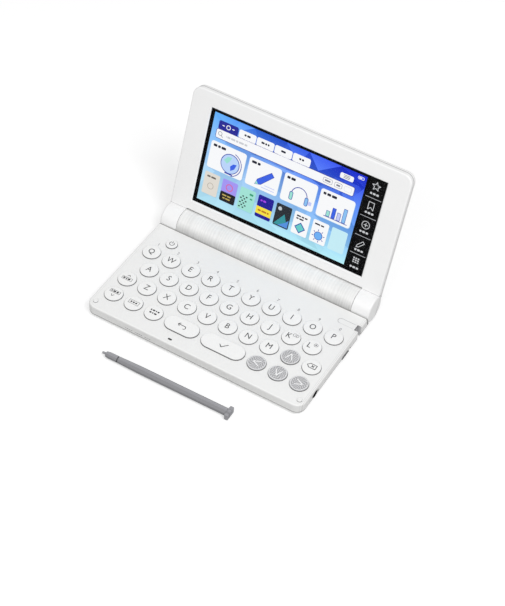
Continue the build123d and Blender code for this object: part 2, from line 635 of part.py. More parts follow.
def hinge_pins():
    """Pins that turn with the lid; the left one is hollow for the display cable."""
    pins = []
    for side, cut in ((-1, CABLE_TURN_ROOM), (1, 0)):
        ends = sorted((side * (BARREL_HALF - PIN_IN_BARREL), side * (KNUCKLE_IN + PIN_IN_LID - cut)))
        pins.append(fillet(bar_x(ends[0], ends[1], 0, AXIS_Z, PIN_R).edges(), 0.3))
    pins[0] = pins[0] - bar_x(-HALF_W, 0, 0, AXIS_Z, CABLE_HOLE_R)
    return Compound(pins)


# ---------------------------------------------------------------- lid, drawn flat and then stood up
def lid_slab(inset, foot, z0, z1):
    """Slab with the lid's outline, moved in by inset, from the height foot up."""
    slab = block(-HALF_W + inset, HALF_W - inset, foot, REACH - inset, z0, z1)
    top_corners = slab.edges().filter_by(Axis.Z).group_by(Axis.Y)[-1]
    return fillet(top_corners, CORNER_R - inset)


def rim_edges(solid, z_index):
    """Edges round the top or bottom face, without the one along the foot."""
    face = solid.faces().sort_by(Axis.Z)[z_index]
    return face.edges().sort_by(Axis.Y)[1:]


def lid_envelope():
    """Outer form of the lid with its two knuckles."""
    body = lid_slab(0, 0, LID_BACK, LID_FACE)
    body = fillet(rim_edges(body, -1), LID_FACE_R)
    body = fillet(rim_edges(body, 0), LID_BACK_R)
    body = body - block(-KNUCKLE_IN, KNUCKLE_IN, -1, LID_FOOT, LID_BACK - 1, LID_FACE + 1)
    foot_edges = body.edges().filter_by(Axis.X).filter_by_position(Axis.Y, LID_FOOT - 0.01, LID_FOOT + 0.01)
    return fillet(foot_edges, LID_FOOT_R)


def knuckle(side):
    ends = sorted((side * KNUCKLE_IN, side * HALF_W))
    bar = bar_x(ends[0], ends[1], 0, 0, BARREL_R)
    outer = bar.edges().sort_by(Axis.X)[-1 if side > 0 else 0]
    return fillet(outer, KNUCKLE_END_R)


def knuckle_room(grow):
    """Both knuckles as plain cylinders, larger all round by grow."""
    room = bar_x(KNUCKLE_IN - 1, HALF_W + 1, 0, 0, BARREL_R + grow)
    return room + bar_x(-HALF_W - 1, -KNUCKLE_IN + 1, 0, 0, BARREL_R + grow)


def cable_duct():
    """Way for the display cable from the left pin, through the arm and into the lid."""
    inner_x = -KNUCKLE_IN - DUCT_SIDE
    outer_x = -HALF_W + WALL
    lower = block(outer_x, inner_x, -DUCT_HALF, 2 * DUCT_RISE, -DUCT_LOW, DUCT_HALF)
    upper = block(outer_x, inner_x - DUCT_STEP, DUCT_RISE, LID_FOOT + WALL + DUCT_HALF,
                  LID_BACK + 1.5 * FLOOR_T, GLASS_TOP - 4 * SNUG_GAP)
    return lower + upper


def window_cutter():
    """Display window with its bevel towards the face."""
    opening = block(-WIN_W / 2, WIN_W / 2, WIN_FOOT, WIN_FOOT + WIN_H, GLASS_TOP - 1, LID_FACE + 1)
    outline = Plane(origin=(0, WIN_MID, LID_FACE)) * Rectangle(WIN_W + 2 * WIN_BEVEL, WIN_H + 2 * WIN_BEVEL)
    bevel = extrude(outline, amount=-WIN_BEVEL, taper=45)
    return opening + bevel


def lid_front_frame():
    """Front shell: the face with its window, the side walls, the arms and the knuckles."""
    shell = lid_envelope() & block(-HALF_W - 1, HALF_W + 1, -1, REACH + 1, LID_PART, LID_FACE + 1)
    shell = shell + (lid_envelope() & knuckle_room(0)) + knuckle(-1) + knuckle(1)
    shell = shell - lid_slab(WALL, LID_FOOT + WALL, LID_PART - 1, GLASS_TOP) - window_cutter()
    lip = lid_slab(WALL + SNUG_GAP, LID_FOOT + WALL + SNUG_GAP, LID_PART - LIP_H, LID_PART)
    lip = lip + lid_slab(WALL / 2, LID_FOOT + WALL / 2, LID_PART, LID_PART + LIP_T)
    lip = lip - lid_slab(WALL + LIP_T, LID_FOOT + WALL + LIP_T, LID_PART - LIP_H - 1, LID_PART + 1)
    shell = shell + lip
    for side in (-1, 1):
        ends = sorted((side * 0, side * (KNUCKLE_IN + PIN_IN_LID + FIT_GAP)))
        shell = shell - bar_x(ends[0], ends[1], 0, 0, PIN_R + PIN_GAP)
    return LID_PLANE.location * (shell - cable_duct())


def lid_back_cover():
    """Back shell, hugging the knuckles, with six rests behind the display module."""
    shell = lid_envelope() & block(-HALF_W - 1, HALF_W + 1, -1, REACH + 1, LID_BACK - 1, LID_PART)
    shell = shell - knuckle_room(SNUG_GAP)
    groove = lid_slab(-1, -1, LID_PART - GROOVE_W, LID_PART + 1)
    groove = groove - lid_slab(GROOVE_DEEP, -2, LID_PART - GROOVE_W - 1, LID_PART + 2)
    shell = shell - groove
    inner = lid_slab(WALL, LID_FOOT + WALL, LID_BACK + FLOOR_T, LID_PART + 1)
    inner = fillet(inner.faces().sort_by(Axis.Z)[0].edges(), LID_BACK_R - WALL)
    shell = shell - inner - cable_duct()
    for x in (-WIN_W / 3, 0, WIN_W / 3):
        for y in (WIN_FOOT + WIN_H * 0.25, WIN_FOOT + WIN_H * 0.75):
            shell = shell + block(x - PAD_SIZE / 2, x + PAD_SIZE / 2, y - PAD_SIZE / 2, y + PAD_SIZE / 2,
                                  LID_BACK + FLOOR_T - 0.2, LCD_LOW)
    return LID_PLANE.location * shell


def touch_glass():
    half = WIN_W / 2 + GLASS_LAP
    glass = block(-half, half, WIN_FOOT - GLASS_LAP, WIN_FOOT + WIN_H + GLASS_LAP, GLASS_LOW, GLASS_TOP)
    return LID_PLANE.location * glass


def display_module():
    half = WIN_W / 2 + GLASS_LAP - LCD_INSET
    module = block(-half, half, WIN_FOOT - GLASS_LAP + LCD_INSET, WIN_FOOT + WIN_H + GLASS_LAP - LCD_INSET,
                   LCD_LOW, GLASS_LOW)
    driver = block(-WIN_W / 4, WIN_W / 4, WIN_FOOT, WIN_FOOT + DRIVER_H, LCD_LOW - DRIVER_T, LCD_LOW)
    return LID_PLANE.location * (module + driver)


def display_cable():
    """Cable from the barrel through the hollow pin and the arm to the display module."""
    start_x = -BAY_HALF - BULKHEAD_T / 2
    turn_x = -KNUCKLE_IN - PIN_IN_LID + CABLE_TURN_ROOM - 1.9
    rise_x = (-HALF_W + WALL - KNUCKLE_IN - DUCT_SIDE - DUCT_STEP) / 2
    lid_y = LID_FOOT + WALL + DUCT_HALF
    rear_z = LID_BACK + FLOOR_T + CABLE_R
    route = [(start_x, 0, 0), (turn_x, 0, 0), (rise_x, DUCT_RISE + 1, -0.65 * DUCT_LOW),
             (rise_x, lid_y, rear_z + 1.45), (rise_x + KNUCKLE_W, lid_y + 1.2, rear_z + 0.65),
             (-WIN_W / 4 - PAD_SIZE, WIN_FOOT + DRIVER_H / 2, LCD_LOW - CABLE_R - FIT_GAP)]
    path = FilletPolyline(*route, radius=CABLE_BEND_R)
    section = Plane(origin=route[0], z_dir=(1, 0, 0)) * Circle(CABLE_R)
    return LID_PLANE.location * sweep(section, path)


# ---------------------------------------------------------------- feet, screws, stylus
def rubber_feet():
    feet = []
    for side in (-1, 1):
        feet.append(post(side * FOOT_X, FOOT_Y, GROUND_Z, -BASE_H + FOOT_SINK, FOOT_R))
        feet.append(post(side * FOOT_SPAN, 0, GROUND_Z, -BASE_H + FOOT_SINK, REAR_FOOT_R))
    return Compound([fillet(foot.edges().sort_by(Axis.Z)[0], 0.2) for foot in feet])


def base_screws():
    screws = []
    for x, y in screw_places():
        head_top = -BASE_H + SCREW_SINK
        screw = post(x, y, head_top - SCREW_HEAD_H, head_top, SCREW_HEAD_R)
        screw = screw + post(x, y, head_top, -TOP_T - SCREW_END - SCREW_HEAD_H + FIT_GAP, SCREW_R)
        for turn in (0, 90):
            cross = Box(SCREW_HEAD_R * 1.2, 0.45, 0.9)
            screw = screw - Pos(x, y, head_top - SCREW_HEAD_H) * Rot(0, 0, turn) * cross
        screws.append(screw)
    return Compound(screws)


def stylus():
    """Slim rod of eight soft flats with a nib, a grooved collar and a crossbar head."""
    def eight_sided(width, x):
        face = Plane(origin=(x, 0, 0), x_dir=(0, 1, 0), z_dir=(1, 0, 0)) * Rectangle(width, width)
        return chamfer(face.vertices(), width * 0.293)

    nib_end = STYLUS_NIB_L
    collar_end = nib_end + STYLUS_COLLAR_L
    groove_end = collar_end + STYLUS_GROOVE
    taper_end = groove_end + STYLUS_TAPER_L
    head_start = STYLUS_L - STYLUS_HEAD_T
    nib = bar_x(0.5, nib_end + 0.5, 0, 0, STYLUS_NIB_D / 2)
    nib = fillet(nib.edges().sort_by(Axis.X)[0], STYLUS_NIB_D * 0.35)
    nib = Pos(-0.5, 0, 0) * nib
    collar = loft([eight_sided(STYLUS_NECK_D * 0.86, nib_end), eight_sided(STYLUS_NECK_D, nib_end + 2)])
    collar = collar + extrude(eight_sided(STYLUS_NECK_D, nib_end + 2), STYLUS_COLLAR_L - 2)
    neck = bar_x(collar_end, groove_end, 0, 0, STYLUS_NECK_D * 0.43)
    taper = loft([eight_sided(STYLUS_NECK_D, groove_end), eight_sided(STYLUS_D, taper_end)])
    rod = extrude(eight_sided(STYLUS_D, taper_end), head_start - taper_end)
    head = block(head_start, STYLUS_L, -STYLUS_HEAD_W / 2, STYLUS_HEAD_W / 2, -STYLUS_D / 2, STYLUS_D / 2)
    head = fillet(head.edges(), 0.5)
    pen = nib + collar + neck + taper + rod + head
    place = Pos(STYLUS_OUT_SIDE - HALF_W, -REACH - STYLUS_OUT_FRONT, GROUND_Z + STYLUS_D / 2)
    place = place * Rot(0, 0, STYLUS_OUT_TURN)
    return place * pen


# ---------------------------------------------------------------- all nodes
def all_nodes():
    nodes = {
        "base_top_cover": base_top_cover(),
        "base_bottom_cover": base_bottom_cover(),
        "stylus_channel": stylus_channel(),
        "main_board": main_board(),
        "key_dome_sheet": key_dome_sheet(),
        "speaker": speaker(),
        "headphone_jack": headphone_jack(),
        "usb_socket": usb_socket(),
        "hinge_barrel": hinge_barrel(),
        "battery_cover": battery_cover(),
        "battery_cells": battery_cells(),
        "battery_contacts": battery_contacts(),
        "hinge_cartridges": hinge_cartridges(),
        "hinge_pins": hinge_pins(),
        "lid_front_frame": lid_front_frame(),
        "lid_back_cover": lid_back_cover(),
        "touch_glass": touch_glass(),
        "display_module": display_module(),
        "display_cable": display_cable(),
        "rubber_feet": rubber_feet(),
        "base_screws": base_screws(),
        "stylus": stylus(),
    }
    for name, x, y, outline in key_places():
        nodes[name] = key_cap(name, x, y, outline)
    return nodes


def main():
    nodes = all_nodes()
    boxes = [solid.bounding_box() for solid in nodes.values()]
    low = Vector(*[min(getattr(box.min, axis) for box in boxes) for axis in "XYZ"])
    high = Vector(*[max(getattr(box.max, axis) for box in boxes) for axis in "XYZ"])
    shift = Pos(-(low.X + high.X) / 2, -(low.Y + high.Y) / 2, -low.Z)
    os.makedirs("parts", exist_ok=True)
    for name, solid in nodes.items():
        export_step(shift * solid, "parts/" + name + ".step")
    print("nodes", len(nodes), "size", high - low, "moved by", shift.position)
    print("hinge axis at", (shift * Pos(0, 0, AXIS_Z)).position)


main()
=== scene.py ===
import math
import random

import bpy
from mathutils import Matrix, Vector


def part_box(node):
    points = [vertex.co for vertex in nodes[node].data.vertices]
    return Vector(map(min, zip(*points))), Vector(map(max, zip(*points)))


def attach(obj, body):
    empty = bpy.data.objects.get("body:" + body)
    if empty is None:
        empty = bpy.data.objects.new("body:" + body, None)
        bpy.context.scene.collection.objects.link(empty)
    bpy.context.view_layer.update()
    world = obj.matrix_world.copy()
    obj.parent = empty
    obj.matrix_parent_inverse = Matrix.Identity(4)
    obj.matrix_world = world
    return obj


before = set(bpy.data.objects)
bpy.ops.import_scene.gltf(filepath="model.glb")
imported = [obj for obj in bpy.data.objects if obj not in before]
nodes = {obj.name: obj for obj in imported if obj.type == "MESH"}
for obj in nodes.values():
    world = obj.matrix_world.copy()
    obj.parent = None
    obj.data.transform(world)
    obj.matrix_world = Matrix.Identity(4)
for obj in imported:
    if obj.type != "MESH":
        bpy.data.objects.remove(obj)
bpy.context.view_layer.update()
MM = 0.001

# ------------------------------------------------------------------ places, in millimetres
HINGE_Y = 40.0622
HINGE_Z = 9.4
BARREL_R = 8.9
BARREL_HALF = 62.75             # half the barrel's length between the knuckles
COVER_HALF = 49.9               # half the battery cover's length
LID_ROLL = math.radians(108 - 90)       # the lid's face leans back by this much
LID_PARTING_N = -4.025          # where the two shells of the lid meet
DECK_Z = 9.1
DECK_EDGE_X = 73.2              # where the deck turns down into the side walls
DISH_X = 75.0 - 0.8             # bottom of the shallow dishes round the sockets
PARTING_Z = 3.075               # where the two covers of the base meet
FRONT_Y = -51.648               # a hair before the front wall
LID_STOP = (71, -46.44, 1.49)   # place and radius of the lid stops at the front corners
KEY_RIM_Z = 9.76                # top of a round key at the edge of its cap
KEY_CROWN = 0.14                # rise of the cap over that edge
KEY_RIM_R = 0.35                # rounding between cap and side
KEY_R = 5.8
KEY_FLAT_R = 5.45               # a round cap inside its rounding
POWER_KEY_R = 3.7
LONG_KEYS = {"key_back": 22.91, "key_enter": 29.11}
ARROW_KEYS = {"key_up": 0, "key_left": 90, "key_down": 180, "key_right": -90}    # degrees
STYLUS_TIP = (-48.0, -73.34)
STYLUS_TURN = math.radians(0.8)
STYLUS_FLAT = 0.95              # half the width of its top face
STYLUS_NECK = 11.2              # from the tip to the groove behind the collar


def on_lid(u, w, n):
    """Point of the lid: across, up along the face from the hinge, and out of the face."""
    y = HINGE_Y + w * math.sin(LID_ROLL) - n * math.cos(LID_ROLL)
    z = HINGE_Z + w * math.cos(LID_ROLL) + n * math.sin(LID_ROLL)
    return Vector((u, y, z)) * MM


def middle(node):
    """Middle of a node, seen from above."""
    low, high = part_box(node)
    return (low[0] + high[0]) / 2 / MM, (low[1] + high[1]) / 2 / MM


# ------------------------------------------------------------------ camera, solved from the photo
camera = bpy.data.objects.new("camera", bpy.data.cameras.new("camera"))
bpy.context.collection.objects.link(camera)
right = Vector((0.859903, 0.507915, 0.050924))
up = Vector((-0.405243, 0.618587, 0.673150))
back = Vector((0.310402, -0.599479, 0.737752))
camera.matrix_world = Matrix.Translation((0.315386, -0.586555, 0.735876)) @ Matrix(
    (right, up, back)).transposed().to_4x4()
camera.data.lens = 96.15
camera.data.sensor_width = 36.0
camera.data.clip_start = 0.05
bpy.context.scene.camera = camera


# ------------------------------------------------------------------ colours, sRGB out of 255
def linear(*rgb):
    """The same colour as linear light."""
    out = []
    for value in rgb:
        c = value / 255
        out.append(c / 12.92 if c <= 0.04045 else ((c + 0.055) / 1.055) ** 2.4)
    return tuple(out)


def mix(a, b, t):
    return tuple(p + (q - p) * t for p, q in zip(a, b))


WHITE = (238, 238, 237)
INK = (22, 22, 26)
INK_PALE = (104, 104, 107)


# ------------------------------------------------------------------ materials
COLOUR_A, COLOUR_B, COLOUR_OUT = 6, 7, 2        # sockets of a Mix node set to colours
ALONG_X, ALONG_Z = (1, 0, 0), (0, 0, 1)
ROUND_HINGE = None
GLOSS_SPREAD = 0.06             # roughness varies by this much over a surface


def new_material(name):
    material = bpy.data.materials.new(name)
    material.use_nodes = True
    return material, material.node_tree, material.node_tree.nodes["Principled BSDF"]


def feed(tree, socket, value):
    """Links a socket to an output, or sets its value."""
    if isinstance(value, bpy.types.NodeSocket):
        tree.links.new(value, socket)
    else:
        socket.default_value = value


def set_inputs(tree, node, **values):
    """Sets or links inputs by name, with _ for a space."""
    for key, value in values.items():
        feed(tree, node.inputs[key.replace("_", " ")], value)


def add(tree, kind, **values):
    """New node, with settings and inputs by name."""
    node = tree.nodes.new(kind)
    for key, value in values.items():
        if hasattr(node, key):
            setattr(node, key, value)
        else:
            set_inputs(tree, node, **{key: value})
    return node


def join(tree, kind, *values, **settings):
    """Outputs of a new node whose inputs are fed in their order."""
    node = add(tree, kind, **settings)
    for socket, value in zip(node.inputs, values):
        feed(tree, socket, value)
    return node.outputs


def maths(tree, operation, *values):
    return join(tree, "ShaderNodeMath", *values, operation=operation)[0]


def vector_maths(tree, operation, *values):
    outputs = join(tree, "ShaderNodeVectorMath", *values, operation=operation)
    return outputs["Value" if operation in ("DOT_PRODUCT", "LENGTH") else "Vector"]


def multiply(tree, colour, tone, factor=1.0):
    """A colour darkened or lightened by a tone."""
    node = add(tree, "ShaderNodeMix", data_type="RGBA", blend_type="MULTIPLY", Factor=factor)
    feed(tree, node.inputs[COLOUR_A], colour)
    feed(tree, node.inputs[COLOUR_B], tone)
    return node.outputs[COLOUR_OUT]


def own_place(tree):
    return add(tree, "ShaderNodeTexCoord").outputs["Object"]


def noise(tree, scale, detail):
    """Soft noise over the surface, from 0 to 1. The scale is per metre."""
    return add(tree, "ShaderNodeTexNoise", Vector=own_place(tree), Scale=scale,
               Detail=detail).outputs["Fac"]


def between(tree, value, low, high):
    return add(tree, "ShaderNodeMapRange", Value=value, To_Min=low, To_Max=high).outputs["Result"]


def surface(name, colour, rough, spread=0.03, size=4.0, grain=0.25, bump=0.05, coat=0.0, metal=0.0,
            specular=0.5):
    """Moulded or plated surface: soft cloudiness of the colour, uneven gloss and a fine grain.

    The size of the clouds and of the grain is in millimetres."""
    material, tree, shader = new_material(name)
    cloud = noise(tree, scale=1 / (size * MM), detail=3.0)
    fine = noise(tree, scale=1 / (grain * MM), detail=2.0)
    tone = between(tree, cloud, 1 - spread, 1 + spread * 0.4)
    relief = add(tree, "ShaderNodeBump", Height=fine, Strength=bump, Distance=grain * MM * 0.3)
    set_inputs(tree, shader, Base_Color=multiply(tree, (*linear(*colour), 1), tone),
               Roughness=between(tree, cloud, rough - GLOSS_SPREAD, rough + GLOSS_SPREAD),
               Metallic=metal, Specular_IOR_Level=specular, Coat_Weight=coat,
               Coat_Roughness=0.12, Normal=relief.outputs["Normal"])
    return material


def painted_shading(name, colour, rough, lines, **look):
    """A moulded surface with painted shade and painted light in lines and bands, where two
    shells meet or a face turns a corner.

    Each line is (direction, place, half width, tone): it takes the points whose distance along
    the direction is near the place. ROUND_HINGE in its stead measures the distance from the
    hinge axis, and a fifth value keeps only the points further than that from the middle
    along X."""
    material = surface(name, colour, rough, **look)
    tree = material.node_tree
    target = tree.nodes["Principled BSDF"].inputs["Base Color"]
    colour_now = target.links[0].from_socket
    point = own_place(tree)
    for direction, place, half, tone, *limit in lines:
        if direction is ROUND_HINGE:
            offset = vector_maths(tree, "SUBTRACT", point, (0, HINGE_Y * MM, HINGE_Z * MM))
            across = vector_maths(tree, "MULTIPLY", offset, (0, 1, 1))
            measure = vector_maths(tree, "LENGTH", across)
        else:
            measure = vector_maths(tree, "DOT_PRODUCT", point, direction)
        strength = maths(tree, "COMPARE", measure, place * MM, half * MM)
        if limit:
            x = add(tree, "ShaderNodeSeparateXYZ", Vector=point).outputs["X"]
            beyond = maths(tree, "GREATER_THAN", maths(tree, "ABSOLUTE", x), limit[0] * MM)
            strength = maths(tree, "MULTIPLY", strength, beyond)
        colour_now = multiply(tree, colour_now, (tone, tone, tone, 1), strength)
    feed(tree, target, colour_now)
    return material


def tinted(name, rough, glow=0.0, spread=0.03, coat=0.0, specular=0.5):
    """Paint, painted shade or screen light whose colour is the mesh's own, with a slight
    unevenness.
    """
    material, tree, shader = new_material(name)
    tint = add(tree, "ShaderNodeAttribute", attribute_name="tint").outputs["Color"]
    cloud = noise(tree, scale=600.0, detail=2.0)
    tone = multiply(tree, tint, between(tree, cloud, 1 - spread, 1 + spread))
    set_inputs(tree, shader, Roughness=rough, Coat_Weight=coat, Specular_IOR_Level=specular)
    if glow:
        set_inputs(tree, shader, Base_Color=(0.004, 0.004, 0.005, 1), Emission_Color=tone,
                   Emission_Strength=glow)
    else:
        set_inputs(tree, shader, Base_Color=tone)
    return material


def glass(name):
    """Clear glass with faint smears in its gloss."""
    material, tree, shader = new_material(name)
    smears = between(tree, noise(tree, scale=60.0, detail=4.0), 0.03, 0.10)
    set_inputs(tree, shader, Base_Color=(0.02, 0.02, 0.025, 1), Roughness=smears, Alpha=0.05,
               Specular_IOR_Level=0.25)
    return material


CASE_ROUGH = 0.42
case_look = dict(spread=0.02, size=14, grain=0.35, bump=0.06, coat=0.15)
case_white = surface("case_white", WHITE, CASE_ROUGH, **case_look)
# the base's white, with lines and bands of painted shade and painted light
base_shell = painted_shading("base_shell", WHITE, CASE_ROUGH, (
    (ALONG_Z, PARTING_Z, 0.24, 0.40),               # painted shade in the seam between the covers
    (ALONG_Z, 0.2, 0.35, 0.55),                     # painted shade at the foot of the walls
    (ALONG_Z, 1.6, 1.1, 1.06),                      # painted light on the walls below the seam
    (ALONG_Z, 6.1, 2.8, 0.93),                      # painted shade on the walls above the seam
    # painted shade at the inner edge of the dishes round the sockets
    (ALONG_X, DISH_X, 0.06, 0.5),
    # painted shade where the deck turns down into the side walls
    (ALONG_X, DECK_EDGE_X, 0.3, 0.93), (ALONG_X, -DECK_EDGE_X, 0.3, 0.95),
    (ROUND_HINGE, 9.4, 0.22, 0.42),                 # painted shade at the edge of the deck along the barrel
    (ROUND_HINGE, 9.6, 0.6, 0.3, 74.4),             # painted shade of the gap behind the knuckles, on the side walls
), **case_look)
lid_facing = on_lid(0, 0, 1) / MM - on_lid(0, 0, 0) / MM
lid_parting = lid_facing.dot(on_lid(0, 0, LID_PARTING_N)) / MM
# painted light: the lid's shells are a lighter white than the base's, for the light on the lid's
# face
lid_shell = painted_shading("lid_shell", (243, 243, 243), CASE_ROUGH, (
    (lid_facing, lid_parting, 0.26, 0.45),          # painted shade in the seam between the shells
    (ROUND_HINGE, 8.5, 0.16, 0.86, 74.9),           # painted shade at the rim of the round end faces
    (ROUND_HINGE, 9.15, 0.25, 0.6, 74.6),           # painted shade in the joint between knuckle and lid
), **case_look)
key_white = surface("key_white", (242, 242, 241), 0.36, spread=0.015, size=6, bump=0.04, coat=0.2)
key_grey = surface("key_grey", (196, 197, 199), 0.45, spread=0.04, size=3, grain=0.2, bump=0.08)
pen_along = Vector((math.cos(STYLUS_TURN), math.sin(STYLUS_TURN), 0))
pen_across = Vector((-pen_along.y, pen_along.x, 0))
pen_tip = Vector((*STYLUS_TIP, 0))
pen_middle = pen_across.dot(pen_tip)
stylus_grey = painted_shading("stylus_grey", (151, 151, 155), 0.42, (
    (pen_across, pen_middle + STYLUS_FLAT, 0.16, 0.45),             # painted shade at the far edge of the top face
    (pen_across, pen_middle + STYLUS_FLAT - 0.35, 0.18, 1.25),      # painted highlight beside that edge
    (pen_across, pen_middle - STYLUS_FLAT - 0.75, 0.75, 0.74),      # painted shade on the near side
    (pen_along, pen_along.dot(pen_tip) + STYLUS_NECK, 0.4, 0.4),    # painted shade in the groove behind the collar
), spread=0.06, size=3, grain=0.2, bump=0.1)
board_green = surface("board_green", (24, 92, 60), 0.5, spread=0.25, size=2, bump=0.1)
dome_rubber = surface("dome_rubber", (205, 205, 203), 0.7, spread=0.06, bump=0.2)
satin_metal = surface("satin_metal", (176, 178, 180), 0.32, metal=1.0, spread=0.08, size=1.5)
nickel = surface("nickel", (196, 194, 188), 0.25, metal=1.0, spread=0.06, size=1.0)
socket_black = surface("socket_black", (6, 6, 7), 0.6, spread=0.2, size=1, specular=0.1)
cell_sleeve = surface("cell_sleeve", (70, 74, 82), 0.35, spread=0.2, size=9, coat=0.4)
display_black = surface("display_black", (4, 4, 5), 0.35, spread=0.2, size=6, specular=0.15)
cable_black = surface("cable_black", (28, 28, 30), 0.55, spread=0.15, size=1)
foot_rubber = surface("foot_rubber", (118, 118, 120), 0.8, spread=0.1, size=1.5, grain=0.2,
                      bump=0.3)
picture_light = tinted("picture_light", 0.5, glow=1.0, spread=0.015, specular=0.1)
# print and painted shade, both carried in the mesh's colours
paint = tinted("legend_paint", 0.5, spread=0.05)
# white for the barrel's rings, with painted shade in the mesh's colours
turned_white_and_shade = tinted("turned_white_and_shade", CASE_ROUGH, spread=0.012, coat=0.15)

FINISH = {
    "base_top_cover": base_shell, "base_bottom_cover": base_shell, "stylus_channel": base_shell,
    "hinge_barrel": case_white, "battery_cover": case_white, "lid_front_frame": lid_shell,
    "lid_back_cover": lid_shell, "main_board": board_green, "key_dome_sheet": dome_rubber,
    "speaker": satin_metal, "headphone_jack": socket_black, "usb_socket": nickel,
    "battery_cells": cell_sleeve, "battery_contacts": nickel, "hinge_cartridges": satin_metal,
    "hinge_pins": satin_metal, "touch_glass": glass("screen_glass"),
    "display_module": display_black, "display_cable": cable_black, "rubber_feet": foot_rubber,
    "base_screws": satin_metal, "stylus": stylus_grey,
}
for name, node in nodes.items():
    finish = FINISH.get(name, key_grey if name in ARROW_KEYS else key_white)
    for place in node.material_slots:
        place.link = "OBJECT"
        place.material = finish


# ------------------------------------------------------------------ pieces
def finish_piece(name, mesh, material, body, smooth=False):
    piece = bpy.data.objects.new(name, mesh)
    bpy.context.collection.objects.link(piece)
    mesh.materials.append(material)
    for face in mesh.polygons:
        face.use_smooth = smooth
    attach(piece, body)
    return piece


def tinted_mesh(name, points, faces, tints, domain):
    """Mesh with colours of its own, one for each point or for each corner of its faces."""
    mesh = bpy.data.meshes.new(name)
    mesh.from_pydata(points, [], faces)
    layer = mesh.color_attributes.new("tint", "FLOAT_COLOR", domain)
    for item, tint in zip(layer.data, tints):
        item.color = (*tint, 1.0)
    return mesh


def grid_faces(rows, columns):
    """Faces between rows and columns of points, counted in spaces."""
    faces = []
    for j in range(rows):
        for i in range(columns):
            k = j * (columns + 1) + i
            faces.append((k, k + 1, k + columns + 2, k + columns + 1))
    return faces


# ------------------------------------------------------------------ flat art: shapes on a surface
GLYPH_WIDTH = 0.9               # letters are a little narrower than the font's
CAP_HEIGHT = 0.70               # height of the font's capitals, for a size of 1
DASH_GAP = 0.5
NEAR_SIDE = (0.547, -0.836)     # the side of a key that turns away from the lamps
LIT_SIDE = (236, 236, 236)
SHADE_SKIRT_LEVEL = -10                     # levels about this one are depths, from a key's rim down, for the bands of painted shade
